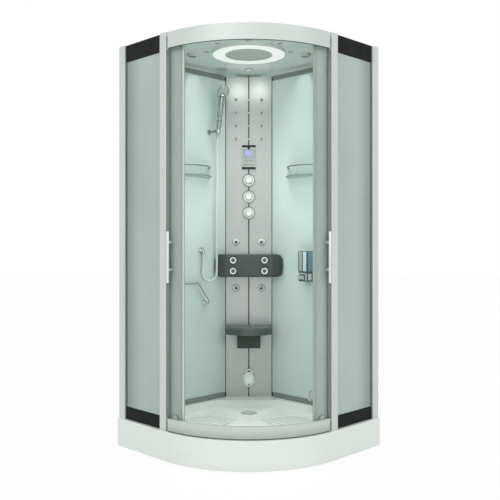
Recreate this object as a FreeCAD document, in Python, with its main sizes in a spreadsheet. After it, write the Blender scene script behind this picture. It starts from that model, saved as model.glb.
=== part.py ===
"""Quarter-round steam shower cabin, modelled at its real size in millimetres.

Row frame: +Z up, the curved doors face -Y, the origin is on the floor under the middle of the
plan. The room corner that the cabin stands in is at x = 0, y = CORNER_Y. Three helper frames are
used below: "wall" frames with x along a wall, y out of it; the "arc" frame on the axis of the
curved front; and plain row coordinates for everything on the tall centre column.
"""
import FreeCAD, Part
import math
import os
import re

import Sketcher

SIZES = [
    # plan and heights
    ("cabin_width", 1000, "tray length along each wall"),
    ("side_straight", 400, "straight side of the tray before the arc starts"),
    ("cabin_height", 2150, "floor to the top of the frame"),
    ("tray_height", 150, "floor to the tray rim"),
    ("fit_gap", 0.3, "gap between parts that sit on each other"),
    ("pin_gap", 0.05, "radial clearance of a turning pin"),
    # tray
    ("skirt_gap", 2, "floor to the skirt's lower edge"),
    ("tray_wall", 5, "thickness of the tray shell"),
    ("basin_rim", 60, "width of the flat rim"),
    ("basin_back", 393, "sum of both wall distances at the cut-off back corner of the basin"),
    ("basin_depth", 35, "rim down to the basin floor"),
    ("basin_slope", 40, "slope of the basin sides, degrees"),
    ("drain_out", 460, "drain centre from the room corner"),
    ("drain_hole", 30, "radius of the hole in the tray"),
    ("cover_radius", 47, "radius of the drain cover"),
    ("cover_thick", 5, "thickness of the drain cover"),
    ("stem_radius", 12, "guide stem under the drain cover"),
    ("stem_length", 26, "length of that stem"),
    ("waste_radius", 44, "radius of the waste body"),
    ("waste_floor", 26, "underside of the waste body"),
    ("waste_wall", 3, "wall of the waste body and its pipe"),
    ("waste_pipe", 18, "radius of the outlet pipe"),
    ("spigot_radius", 20, "radius of the outlet pipe's 40 mm spigot"),
    ("spigot_length", 60, "length of the spigot"),
    ("waste_axis", 50, "height of the outlet pipe's axis"),
    ("waste_end", 45, "free end of the outlet pipe from the room corner"),
    # tray frame and feet
    ("frame_tube", 25, "square tube of the tray frame"),
    ("frame_near", 150, "frame tube nearest a wall"),
    ("frame_far", 560, "second frame tube"),
    ("frame_end_near_gap", 30, "far edge of the tray to the end of the tube nearest a wall"),
    ("frame_end_far_gap", 60, "far edge of the tray to the end of the second tube"),
    ("foot_radius", 22, "radius of a foot pad"),
    ("foot_pad", 10, "height of a foot pad"),
    ("foot_stud", 6, "radius of a foot's threaded stud"),
    # frame profiles
    ("frame_inset", 8, "tray edge to the outer face of the frame"),
    ("post_face", 50, "visible width of the upright profiles"),
    ("post_depth", 28, "depth of the upright profiles"),
    ("post_wall", 2, "wall of the upright profiles"),
    ("post_round", 3, "edge radius of the upright profiles"),
    ("mid_start", 353, "wall face to the near edge of the middle upright"),
    ("pane_thick", 5, "thickness of the fixed side glass"),
    ("pane_inset", 12, "outer face of the frame to the side glass"),
    ("band_thick", 2, "thickness of the dark cover bands"),
    ("band_low", 67, "height of the lower cover band"),
    ("band_high", 90, "height of the upper cover band"),
    # back walls
    ("wall_face", 25, "room wall to the cabin's inner wall face"),
    ("wall_thick", 6, "thickness of the back wall panels"),
    ("wall_start", 229, "start of the wall panels from the room corner"),
    ("trim_low", 30, "height of the lower wall profile"),
    ("trim_high", 27, "height of the upper wall profile"),
    ("trim_proud", 7, "wall profile in front of the wall panel"),
    ("trim_back", 12, "back of the wall profile from the room wall"),
    ("trim_start", 240, "start of the wall profiles from the room corner"),
    # curved rails, measured from the axis of the curved front
    ("rail_inset", 10, "edge of the tray's arc to the rails' outer face"),
    ("rail_skin", 5, "thickness of the visible rail face"),
    ("rail_half_angle", 43.5, "half of the angle that the visible rail face spans"),
    ("rail_low", 64, "height of the bottom rail"),
    ("rail_top_face", 80, "height of the top rail's face"),
    ("rail_top_drop", 3, "frame top down to the top rail's top"),
    ("track_inset", 16, "rails' outer face to the roller track's outer wall"),
    ("track_skin", 2, "thickness of the track's outer wall"),
    ("track_depth", 25, "track's outer wall to the inner edge of its plates"),
    ("track_plate", 3, "thickness of the track's plates"),
    ("track_drop", 19, "frame top down to the top of the roller track"),
    ("track_half_angle", 84.5, "half of the angle that the track spans"),
    ("track_low_wall", 50, "height of the bottom guide wall"),
    # doors
    ("door_inset", 30, "rails' outer face to the door glass's outer face"),
    ("door_thick", 6, "thickness of the door glass"),
    ("door_open", 36.2, "angle from the middle to the door glass's leading edge when open"),
    ("door_span", 43, "angle that one door's glass covers"),
    ("seal_span", 1.15, "angle that the seal on the leading edge covers"),
    ("seal_proud", 1.5, "seal beyond the inner face of the glass"),
    ("door_bottom", 168, "lower edge of the door glass"),
    ("door_head_gap", 3, "underside of the track's top plate to the door glass"),
    ("roller_inset", 4, "angle from a door's edge to its nearest roller"),
    ("roller_radius", 11.5, "radius of a roller"),
    ("roller_width", 8, "width of a roller"),
    ("roller_drop", 23, "top of the roller track down to the roller axes"),
    ("roller_pin", 4, "radius of a roller pin"),
    ("cap_radius", 14, "radius of the round caps inside the glass"),
    ("cap_thick", 6, "thickness of those caps"),
    ("guide_axis", 224, "height of the bottom guides"),
    ("shoe_width", 22, "length of a bottom guide's sliding shoe"),
    ("shoe_low", 172, "underside of a sliding shoe"),
    ("shoe_thick", 8, "thickness of a sliding shoe"),
    ("handle_inset", 7, "angle from a door's leading edge to its handle"),
    ("handle_low", 893, "lower end of a door handle"),
    ("handle_high", 1150, "upper end of a door handle"),
    ("handle_radius", 7.5, "radius of the handle bar"),
    ("handle_standoff", 32, "door glass's outer face to the handle bar's axis"),
    ("handle_bolt", 5, "radius of a handle bolt"),
    ("bolt_low", 959, "height of the lower handle bolt"),
    ("bolt_high", 1096, "height of the upper handle bolt"),
    # roof
    ("roof_edge_drop", 37, "frame top down to the underside of the roof's edge"),
    ("roof_drop", 18, "frame top down to the underside of the roof's field"),
    ("roof_sheet", 4, "thickness of the roof"),
    ("roof_ledge", 65, "room wall to the step of the roof"),
    ("roof_gap", 1.5, "roof edge to the track"),
    ("ring_out", 675, "rain shower's centre from the room corner"),
    ("ring_outer", 197, "outer radius of the ceiling ring"),
    ("ring_inner", 128, "inner radius of the ceiling ring"),
    ("ring_drop", 17, "height of the ceiling ring"),
    ("head_radius", 126, "radius of the rain shower head"),
    ("head_thick", 13, "thickness of the rain shower head"),
    ("feed_radius", 4, "radius of the rain shower's feed pipe"),
    ("feed_bend", 12, "bend radius of that pipe"),
    ("feed_back", 130, "riser of the feed pipe from the room corner"),
    ("spot_circle", 230, "radius of the circle of ceiling spots"),
    ("spot_count", 8, "number of ceiling spots"),
    ("spot_radius", 9, "radius of a ceiling spot"),
    ("spot_drop", 4, "height of a ceiling spot"),
    ("lamp_size", 40, "width of the rear ceiling lamp"),
    ("lamp_out", 283, "rear ceiling lamp from the room corner"),
    ("vent_side", 312, "side offset of the fan and the speaker"),
    ("vent_out", 635, "fan and speaker from the room corner"),
    ("vent_radius", 30, "radius of the fan and speaker housings"),
    ("vent_drop", 16, "height of those housings"),
    ("vent_wall", 3, "wall of the housings"),
    ("fan_radius", 24, "radius of the fan impeller"),
    ("fan_blades", 7, "blades of the impeller"),
    # column
    ("column_out", 178, "column face from the room corner"),
    ("column_half", 143.5, "half width of the column"),
    ("column_gap", 2, "top of the column to the roof's edge"),
    ("column_sheet", 2, "sheet thickness of the column"),
    ("column_return", 25, "depth of the sheet's folded edges at the seam"),
    ("seam_half", 3, "half width of the dark seam"),
    ("jet_side", 79, "side offset of the jets"),
    ("small_jet_radius", 8, "radius of a small body jet"),
    ("small_jet_proud", 5, "small jet in front of the column"),
    ("small_jet_drop", 420, "frame top down to the lowest row of small jets"),
    ("small_jet_pitch", 80.3, "distance between rows of small jets"),
    ("small_jet_rows", 4, "rows of small jets"),
    ("swivel_radius", 14, "radius of a swivel jet's ball"),
    ("swivel_ring", 21, "radius of a swivel jet's ring"),
    ("swivel_ring_proud", 8, "swivel ring in front of the column"),
    ("swivel_upper", 1099, "height of the upper swivel jets"),
    ("swivel_lower", 818, "height of the lower swivel jets"),
    ("nozzle_radius", 6, "radius of a swivel nozzle"),
    ("nozzle_proud", 20, "nozzle tip from the ball's centre"),
    # controls
    ("panel_half", 42, "half width of the control panel"),
    ("panel_low", 1545, "lower edge of the control panel"),
    ("panel_high", 1691, "upper edge of the control panel"),
    ("panel_proud", 16, "control panel in front of the column"),
    ("panel_round", 4, "edge radius of the control panel"),
    ("display_half", 26, "half width of the display"),
    ("display_low", 1612, "lower edge of the display"),
    ("display_high", 1672, "upper edge of the display"),
    ("display_thick", 3, "thickness of the display glass"),
    ("button_width", 18, "width of a button"),
    ("button_height", 12, "height of a button"),
    ("button_pitch", 24, "distance between buttons"),
    ("button_axis", 1584, "height of the buttons"),
    ("button_depth", 7, "depth of a button"),
    ("button_proud", 2, "button in front of the panel"),
    ("knob_top", 1476, "height of the top knob"),
    ("knob_pitch", 100, "distance between knobs"),
    ("rose_radius", 39, "radius of a knob's base"),
    ("rose_thick", 14, "thickness of a knob's base"),
    ("knob_radius", 20.5, "radius of a knob"),
    ("knob_length", 30, "length of a knob"),
    ("spindle_radius", 6, "radius of a knob's spindle"),
    ("spindle_length", 11, "length of that spindle"),
    ("cartridge_radius", 12, "radius of a valve cartridge"),
    ("valve_half", 36, "half width of the valve block"),
    ("valve_back", 112, "back of the valve block from the room corner"),
    ("valve_front", 148, "front of the valve block from the room corner"),
    ("valve_low", 1236, "underside of the valve block"),
    ("valve_high", 1516, "top of the valve block"),
    ("inlet_radius", 10.48, "radius of the G1/2 inlet threads"),
    ("inlet_length", 30, "length of the inlet threads"),
    ("inlet_side", 22, "side offset of the inlets"),
    ("inlet_axis", 1256, "height of the inlets"),
    # steam
    ("tank_out", 110, "steam tank's axis from the room corner"),
    ("tank_radius", 38, "radius of the steam tank"),
    ("tank_low", 200, "underside of the steam tank"),
    ("tank_high", 470, "top of the steam tank"),
    ("tank_stand", 24, "half width of the tank's stand"),
    ("steam_pipe", 8, "radius of the steam pipe"),
    ("steam_axis", 248, "height of the steam outlet's axis"),
    ("outlet_radius", 35.5, "radius of the steam outlet"),
    ("outlet_proud", 34, "steam outlet in front of the column"),
    ("collar_radius", 22, "radius of the outlet's scent cup"),
    ("collar_bore", 15, "bore of the scent cup"),
    ("collar_top", 318, "top of the scent cup"),
    ("collar_depth", 22, "depth of the scent cup's bore"),
    # backrest and seat
    ("rest_half", 205, "half width of the backrest"),
    ("rest_flat", 122, "half width of the backrest's flat front"),
    ("rest_low", 887, "underside of the backrest"),
    ("rest_high", 1024, "top of the backrest"),
    ("rest_front", 260, "backrest front from the room corner"),
    ("rest_tip", 249, "backrest wing tips from the room corner"),
    ("rest_wall", 8, "wall of the backrest"),
    ("rest_round", 5, "edge radius of the backrest"),
    ("rest_jet_side", 95, "side offset of the backrest jets"),
    ("rest_jet_low", 923, "height of the lower backrest jets"),
    ("rest_jet_high", 988, "height of the upper backrest jets"),
    ("rest_jet_ring", 24.5, "radius of a backrest jet's ring"),
    ("rest_jet_body", 17, "radius of a backrest jet's body"),
    ("rest_jet_proud", 5, "backrest jet in front of the backrest"),
    ("seat_half", 141, "half width of the seat"),
    ("seat_back", 188, "rear edge of the seat from the room corner"),
    ("seat_side", 320, "end of the seat's straight side from the room corner"),
    ("seat_front", 400, "front of the seat from the room corner"),
    ("seat_top", 592, "top of the seat"),
    ("seat_thick", 42, "thickness of the seat"),
    ("seat_round", 10, "edge radius of the seat's top"),
    ("hinge_out", 212, "seat hinge from the room corner"),
    ("hinge_axis", 570, "height of the seat hinge"),
    ("hinge_pin", 5, "radius of the seat hinge pin"),
    ("hinge_boss", 10, "radius of the hinge lugs"),
    ("lug_thick", 9, "thickness of a hinge lug"),
    ("ear_side", 50, "inner face of a bracket ear"),
    ("recess_half", 66, "half width of the recess under the seat"),
    ("recess_front", 238, "front of that recess from the room corner"),
    ("recess_roof", 9, "seat thickness over the recess"),
    ("bracket_half", 69.5, "half width of the seat bracket"),
    ("bracket_low", 463, "underside of the seat bracket"),
    ("bracket_step", 538, "top of the seat bracket's rear part"),
    ("bracket_front", 300, "front of the seat bracket from the room corner"),
    ("bracket_rest", 262, "start of the bracket's resting rib"),
    # handset, on the left wall
    ("holder_along", 338, "handset holder from the room corner"),
    ("holder_drop", 393, "frame top down to the handset holder's pivot"),
    ("holder_out", 78, "pivot of the handset from the room wall"),
    ("holder_rose", 22, "radius of the holder's wall plate"),
    ("holder_plate", 7, "thickness of the wall plates"),
    ("holder_arm", 7, "radius of the holder's arm"),
    ("holder_side", 24, "arm beside the handset's axis"),
    ("holder_pin", 4, "radius of the holder's pivot pin"),
    ("grip_radius", 12, "radius of the handset's grip"),
    ("grip_above", 205, "grip above the pivot"),
    ("grip_below", 17, "grip below the pivot"),
    ("grip_lean", 9, "lean of the handset away from the wall, degrees"),
    ("cradle_radius", 16, "radius of the clip round the grip"),
    ("cradle_half", 12, "half height of that clip"),
    ("spray_radius", 42.5, "radius of the handset's head"),
    ("spray_thick", 20, "thickness of the handset's head"),
    ("spray_tilt", 25, "head's downward tilt, degrees"),
    ("hose_radius", 7, "radius of the shower hose"),
    ("hose_lead", 43, "straight stretch of the hose at each end"),
    ("elbow_along", 428, "hose elbow from the room corner"),
    ("elbow_axis", 1048, "height of the hose elbow"),
    ("elbow_out", 47, "hose axis at the elbow from the room wall"),
    ("elbow_radius", 9, "radius of the elbow"),
    ("elbow_rose", 21, "radius of the elbow's wall plate"),
    # wall fittings
    ("shelf_mid", 510, "middle of the shelves from the room corner"),
    ("shelf_radius", 157, "radius of the shelves' round front"),
    ("shelf_depth", 112, "shelf depth from the wall face"),
    ("shelf_top", 1487, "top of the shelves"),
    ("shelf_thick", 7, "thickness of the shelves"),
    ("shelf_rail_axis", 1540, "height of the shelf rails"),
    ("shelf_wire", 3.5, "radius of the shelf rails"),
    ("shelf_post", 2.5, "radius of the rails' posts"),
    ("shelf_rail_inset", 9, "shelf edge to its rail"),
    ("bar_radius", 10, "radius of the grab bar"),
    ("bar_out", 75, "grab bar from the room wall"),
    ("bar_high", 862, "height of the grab bar's level part"),
    ("bar_low", 737, "lower end of the grab bar"),
    ("bar_far", 640, "far end of the grab bar from the room corner"),
    ("bar_knee", 505, "bend of the grab bar from the room corner"),
    ("bar_near", 405, "near end of the grab bar from the room corner"),
    ("bar_bend", 26, "bend radius of the grab bar"),
    ("bar_rose", 20, "radius of a wall bar's plate"),
    ("foot_bar_radius", 6, "radius of the foot bar"),
    ("foot_bar_along", 575, "foot bar from the room corner"),
    ("foot_bar_out", 88, "foot bar from the room wall"),
    ("foot_bar_high", 240, "upper end of the foot bar"),
    ("foot_bar_low", 188, "lower end of the foot bar"),
    ("foot_bar_bend", 18, "bend radius of the foot bar"),
    ("soap_along", 526, "soap dispenser from the room corner"),
    ("soap_half", 35, "half width of the soap dispenser"),
    ("soap_depth", 62, "depth of the soap dispenser"),
    ("soap_low", 870, "underside of the soap dispenser"),
    ("soap_high", 1045, "top of the soap dispenser"),
    ("soap_round", 12, "edge radius of the soap dispenser"),
    ("lever_half", 18, "half width of the push lever"),
    ("lever_low", 880, "underside of the push lever"),
    ("lever_high", 905, "top of the push lever"),
    ("lever_depth", 30, "length of the push lever"),
    ("lever_proud", 12, "push lever in front of the dispenser"),
    ("lever_travel", 8, "travel of the push lever"),
]

doc = FreeCAD.newDocument("steam_shower_cabin")
sheet = doc.addObject("Spreadsheet::Sheet", "Dims")
for row, (alias, size, note) in enumerate(SIZES, start=1):
    sheet.set(f"A{row}", note)
    sheet.set(f"B{row}", str(size))
    sheet.setAlias(f"B{row}", alias)
doc.recompute()

ALIASES = {alias for alias, size, note in SIZES}
NODES = []


# ---------------------------------------------------------------- expressions
# Places that follow from the sizes above.
DERIVED = {
    "rail_outer": "(cabin_width - side_straight - rail_inset)",
    "track_outer": "(rail_outer - track_inset)",
    "track_inner": "(track_outer - track_depth)",
    "door_outer": "(rail_outer - door_inset)",
    "handle_reach": "(door_outer + handle_standoff)",
    "track_top": "(cabin_height - track_drop)",
    "door_top": "(track_top - track_plate - door_head_gap)",
    "roller_axis": "(track_top - roller_drop)",
    "roof_low": "(cabin_height - roof_edge_drop)",
    "roof_field": "(cabin_height - roof_drop)",
    "frame_end_near": "(cabin_width - frame_end_near_gap)",
    "frame_end_far": "(cabin_width - frame_end_far_gap)",
    "small_jet_low": "(cabin_height - small_jet_drop)",
    "holder_axis": "(cabin_height - holder_drop)",
    "trim_top": "roof_low",
    "column_top": "(roof_low - column_gap)",
}


def full(text):
    """The expression with every size written as a cell of the sheet."""
    def cell(match):
        word = match.group(0)
        if word in DERIVED:
            return full(DERIVED[word])
        return f"Dims.{word}" if word in ALIASES else word
    return re.sub(r"[a-z_]+", cell, str(text))


def value(text):
    """The expression's value in millimetres or degrees."""
    return float(sheet.evalExpression(full(text)))


ARC_R = "(cabin_width - side_straight)"
CORNER_Y = f"((side_straight*sqrt(2) + {ARC_R})/2)"
ARC_Y = f"({CORNER_Y} - side_straight*sqrt(2))"
FRAME_FACE = "(cabin_width - frame_inset)"
BASIN_FLOOR = "(tray_height - basin_depth)"
TRAY_UNDER = f"({BASIN_FLOOR} - tray_wall)"


def from_corner(distance):
    """Row y of a point on the diagonal, at a distance from the room corner."""
    return f"({CORNER_Y} - ({distance}))"


# ---------------------------------------------------------------- primitives
def bind(obj, **links):
    """Bind properties to expressions; a double underscore stands for a dot."""
    for name, text in links.items():
        obj.setExpression(name.replace("__", "."), full(text))
    return obj


def place(obj, x="0", y="0", z="0", turn=None):
    """Put an object at a place given by expressions, turned by a fixed rotation."""
    obj.Placement = FreeCAD.Placement(FreeCAD.Vector(), turn or FreeCAD.Rotation())
    return bind(obj, Placement__Base__x=x, Placement__Base__y=y, Placement__Base__z=z)


def turned(axis, degrees):
    return FreeCAD.Rotation(FreeCAD.Vector(*axis), degrees)


ALONG = {
    "+x": turned((0, 1, 0), 90),
    "-x": turned((0, 1, 0), -90),
    "+y": turned((1, 0, 0), -90),
    "-y": turned((1, 0, 0), 90),
    "+z": FreeCAD.Rotation(),
    "-z": turned((1, 0, 0), 180),
}


def box(x_range, y_range, z_range):
    """A box between pairs of expressions."""
    obj = doc.addObject("Part::Box", "Box")
    bind(obj, Length=f"({x_range[1]}) - ({x_range[0]})", Width=f"({y_range[1]}) - ({y_range[0]})",
         Height=f"({z_range[1]}) - ({z_range[0]})")
    return place(obj, x_range[0], y_range[0], z_range[0])


def rod(radius, length, x="0", y="0", z="0", along="+z"):
    """A cylinder that starts at a point and runs along an axis."""
    obj = doc.addObject("Part::Cylinder", "Rod")
    bind(obj, Radius=radius, Height=length)
    return place(obj, x, y, z, ALONG[along])


def ball(radius, x="0", y="0", z="0"):
    obj = doc.addObject("Part::Sphere", "Ball")
    bind(obj, Radius=radius)
    return place(obj, x, y, z)


def cone(low_radius, high_radius, length, x="0", y="0", z="0", along="+z"):
    obj = doc.addObject("Part::Cone", "Cone")
    bind(obj, Radius1=low_radius, Radius2=high_radius, Height=length)
    return place(obj, x, y, z, ALONG[along])


def torus(ring_radius, wire_radius, x="0", y="0", z="0"):
    obj = doc.addObject("Part::Torus", "Torus")
    bind(obj, Radius1=ring_radius, Radius2=wire_radius)
    return place(obj, x, y, z)


def fuse(*parts):
    obj = doc.addObject("Part::MultiFuse", "Fuse")
    obj.Shapes = list(parts)
    obj.Refine = True
    return obj


def group(*parts):
    obj = doc.addObject("Part::Compound", "Group")
    obj.Links = list(parts)
    return obj


def cut(base, *tools):
    obj = doc.addObject("Part::Cut", "Cut")
    obj.Base = base
    obj.Tool = tools[0] if len(tools) == 1 else group(*tools)
    return obj


def common(first, second):
    obj = doc.addObject("Part::Common", "Common")
    obj.Base = first
    obj.Tool = second
    return obj


def tube(outer, inner, z_range, x="0", y="0"):
    """An upright tube."""
    height = f"({z_range[1]}) - ({z_range[0]})"
    wall = rod(outer, height, x, y, z_range[0])
    bore = rod(inner, f"{height} + 2", x, y, f"({z_range[0]}) - 1")
    return cut(wall, bore)


def sector(inner, outer, z_range, angles):
    """A curved plate about the front's axis; angles run from -Y towards +X, in degrees."""
    height = f"({z_range[1]}) - ({z_range[0]})"
    plates = []
    for radius, spare in ((outer, 0), (inner, 1)):
        obj = doc.addObject("Part::Cylinder", "Sector")
        bind(obj, Radius=radius, Height=f"{height} + {2 * spare}",
             Angle=f"({angles[1]}) - ({angles[0]}) + {4 * spare}")
        bind(obj, Placement__Base__z=f"({z_range[0]}) - {spare}",
             Placement__Rotation__Angle=f"({angles[0]}) - 90 - {2 * spare}")
        plates.append(obj)
    return cut(*plates)


def at_angle(obj, angle):
    """Turn an object modelled towards -Y to an angle on the curved front."""
    holder = group(obj)
    return bind(holder, Placement__Rotation__Angle=angle)


# ---------------------------------------------------------------- sketched bodies
def make_body(name):
    body = doc.addObject("PartDesign::Body", name)
    planes = {plane.Role: plane for plane in body.Origin.OriginFeatures}
    return body, planes


def draw(body, plane, height, *outlines):
    """A sketch on one of the body's planes, a height above it, with closed outlines.

    An outline is a list of corners (x, y) or (x, y, radius), anticlockwise; a radius makes the
    edge that starts at that corner an arc, which bulges outwards. A circle is one (x, y, radius).
    """
    sketch = body.newObject("Sketcher::SketchObject", "Sketch")
    sketch.AttachmentSupport = [(plane, "")]
    sketch.MapMode = "FlatFace"
    bind(sketch, AttachmentOffset__Base__z=height)
    for corners in outlines:
        if isinstance(corners, tuple):
            draw_circle(sketch, *corners)
            continue
        points = [FreeCAD.Vector(value(c[0]), value(c[1]), 0) for c in corners]
        first = sketch.GeometryCount
        for i, corner in enumerate(corners):
            a = points[i]
            b = points[(i + 1) % len(points)]
            if len(corner) == 3:
                radius = value(corner[2])
                chord = b - a
                side = FreeCAD.Vector(-chord.y, chord.x, 0).normalize()
                rise = math.sqrt(max(radius ** 2 - (chord.Length / 2) ** 2, 0))
                centre = (a + b) * 0.5 + side * rise
                circle = Part.Circle(centre, FreeCAD.Vector(0, 0, 1), radius)
                start = math.atan2(a.y - centre.y, a.x - centre.x)
                stop = math.atan2(b.y - centre.y, b.x - centre.x)
                if stop < start:
                    stop += 2 * math.pi
                sketch.addGeometry(Part.ArcOfCircle(circle, start, stop))
            else:
                sketch.addGeometry(Part.LineSegment(a, b))
        for i, corner in enumerate(corners):
            this = first + i
            following = first + (i + 1) % len(corners)
            sketch.addConstraint(Sketcher.Constraint("Coincident", this, 2, following, 1))
            pin(sketch, this, 1, corner[0], corner[1])
            if len(corner) == 3:
                limit(sketch, "Radius", (this,), corner[2])
    return sketch


def draw_circle(sketch, x, y, radius):
    centre = FreeCAD.Vector(value(x), value(y), 0)
    circle = sketch.addGeometry(Part.Circle(centre, FreeCAD.Vector(0, 0, 1), value(radius)))
    pin(sketch, circle, 3, x, y)
    limit(sketch, "Radius", (circle,), radius)


def limit(sketch, kind, where, text):
    """A constraint whose size is an expression."""
    index = sketch.addConstraint(Sketcher.Constraint(kind, *where, value(text)))
    sketch.setExpression(f"Constraints[{index}]", full(text))


def pin(sketch, geometry, end, x, y):
    """Hold a point of the sketch at its distances from the sketch's origin."""
    for kind, axis, text in (("DistanceX", -2, x), ("DistanceY", -1, y)):
        if abs(value(text)) < 1e-9:
            sketch.addConstraint(Sketcher.Constraint("PointOnObject", geometry, end, axis))
        else:
            limit(sketch, kind, (-1, 1, geometry, end), text)


def pad(body, sketch, length):
    feature = body.newObject("PartDesign::Pad", "Pad")
    feature.Profile = sketch
    bind(feature, Length=length)
    sketch.Visibility = False
    return feature


def pocket(body, sketch, depth, upward=False, taper=None):
    """Cut a sketch downwards, or upwards from below, and make sure that it cuts."""
    doc.recompute()
    before = body.Shape.Volume
    feature = body.newObject("PartDesign::Pocket", "Pocket")
    feature.Profile = sketch
    feature.Reversed = upward
    bind(feature, Length=depth)
    if taper:
        bind(feature, TaperAngle=taper)
    doc.recompute()
    if body.Shape.Volume > before - 1:
        raise RuntimeError(f"{body.Name}: a pocket cuts nothing")
    return feature


def fillet(body, radius, chosen):
    """Round the edges of the body's last feature for which chosen(edge) is true."""
    doc.recompute()
    base = body.Tip
    names = [f"Edge{i}" for i, edge in enumerate(base.Shape.Edges, start=1) if chosen(edge)]
    feature = body.newObject("PartDesign::Fillet", "Fillet")
    feature.Base = (base, names)
    bind(feature, Radius=radius)
    return feature


def is_upright(edge):
    low = edge.BoundBox
    return low.XLength < 0.01 and low.YLength < 0.01 and low.ZLength > 1


def is_level_at(height):
    def test(edge):
        bounds = edge.BoundBox
        return abs(bounds.ZMin - value(height)) < 0.01 and bounds.ZLength < 0.01
    return test


def rectangle(x_range, y_range):
    return [(x_range[0], y_range[0]), (x_range[1], y_range[0]),
            (x_range[1], y_range[1]), (x_range[0], y_range[1])]


def block(name, x_range, y_range, z_range, radius=None, hollow=None):
    """A padded rectangle with rounded uprights; hollow leaves a tube with that wall."""
    body, planes = make_body(name)
    height = f"({z_range[1]}) - ({z_range[0]})"
    pad(body, draw(body, planes["XY_Plane"], z_range[0], rectangle(x_range, y_range)), height)
    if radius:
        fillet(body, radius, is_upright)
    if hollow:
        inner = rectangle((f"({x_range[0]}) + {hollow}", f"({x_range[1]}) - {hollow}"),
                          (f"({y_range[0]}) + {hollow}", f"({y_range[1]}) - {hollow}"))
        pocket(body, draw(body, planes["XY_Plane"], z_range[1], inner), height)
    return body


# ---------------------------------------------------------------- bent pipes
def bent_wire(points, bend=None):
    """Straight runs joined by tangent arcs; without a bend radius each arc is as large as
    0.45 of its shorter run allows."""
    edges = []
    radii = []
    start = points[0]
    for before, corner, after in zip(points, points[1:], points[2:]):
        into = (corner - before).normalize()
        out = (after - corner).normalize()
        half = into.getAngle(out) / 2
        shorter = min((corner - before).Length, (after - corner).Length)
        radius = bend or 0.45 * shorter / math.tan(half)
        reach = radius * math.tan(half)
        first = corner - into * reach
        last = corner + out * reach
        inward = (out - into).normalize()
        centre = corner + inward * (radius / math.cos(half))
        middle = centre - inward * radius
        edges.append(Part.LineSegment(start, first).toShape())
        edges.append(Part.Arc(first, middle, last).toShape())
        radii.append(radius)
        start = last
    edges.append(Part.LineSegment(start, points[-1]).toShape())
    return Part.Wire(edges), radii


def pipe_along(wire, radius):
    """A round solid along a wire, in the frame that the wire's points are written in."""
    first = wire.OrderedEdges[0]
    start = first.valueAt(first.FirstParameter)
    heading = first.tangentAt(first.FirstParameter)
    ring = Part.Wire(Part.makeCircle(radius, start, heading))
    return wire.makePipeShell([ring], True, False)


def bent_pipe(points, radius, bend):
    return pipe_along(bent_wire(points, bend)[0], radius)


def point(*texts):
    return FreeCAD.Vector(*[value(text) for text in texts])


def solid_feature(name, shape):
    obj = doc.addObject("Part::Feature", name)
    obj.Shape = shape
    return obj


# ---------------------------------------------------------------- nodes
FRAMES = {
    "row": ("0", 0),
    "arc": (ARC_Y, 0),
    "left": (CORNER_Y, -135),
    "right": (CORNER_Y, 135),
}
SIDES = ("left", "right")


def node(name, obj, frame="row"):
    """Name a finished sub-part and put it into the row frame."""
    y, degrees = FRAMES[frame]
    if obj.TypeId not in ("PartDesign::Body", "Part::Feature"):
        obj = group(obj)
    obj.Label = name
    place(obj, y=y, turn=turned((0, 0, 1), degrees))
    NODES.append(obj)
    return obj


def pair(make):
    """One solid for each side; the right wall's frame has its x axis towards the corner."""
    parts = []
    for side in SIDES:
        y, degrees = FRAMES[side]
        holder = group(make(side))
        parts.append(place(holder, y=y, turn=turned((0, 0, 1), degrees)))
    return group(*parts)


def along(side, near, far):
    """An x range in a side's wall frame, from distances to the room corner."""
    return (near, far) if side == "left" else (f"-({far})", f"-({near})")


def spot(side, distance):
    return distance if side == "left" else f"-({distance})"


# ---------------------------------------------------------------- tray
def quarter(inset, wall_inset):
    """The quarter-round plan, drawn inside by an inset, from the left wall's frame."""
    far = f"(cabin_width - {inset})"
    radius = f"({ARC_R} - {inset})"
    return [(wall_inset, wall_inset), (far, wall_inset), (far, "side_straight", radius),
            ("side_straight", far), (wall_inset, far)]


def basin(spread):
    """The basin's plan at the rim, with its back corner cut off, spread outwards."""
    near = f"(basin_rim - {spread})"
    far = f"(cabin_width - {near})"
    slant = f"(basin_back - {spread}*sqrt(2) - {near})"
    return [(slant, near), (far, near), (far, "side_straight", f"({ARC_R} - {near})"),
            ("side_straight", far), (near, far), (near, slant)]


def shower_tray():
    body, planes = make_body("Tray")
    level = planes["XY_Plane"]
    pad(body, draw(body, level, "skirt_gap", quarter("0", "0")), "tray_height - skirt_gap")
    pocket(body, draw(body, level, "tray_height", basin("0")), "basin_depth", taper="-basin_slope")
    open_side = draw(body, level, "skirt_gap", quarter("tray_wall", "-1"))
    pocket(body, open_side, f"{TRAY_UNDER} - skirt_gap", upward=True)
    hollow = draw(body, level, TRAY_UNDER, quarter("tray_wall", "tray_wall"), basin("tray_wall"))
    pocket(body, hollow, "basin_depth", upward=True)
    centre = "drain_out/sqrt(2)"
    pocket(body, draw(body, level, BASIN_FLOOR, (centre, centre, "drain_hole")), "2*tray_wall")
    return node("shower_tray", body, "left")


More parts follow.
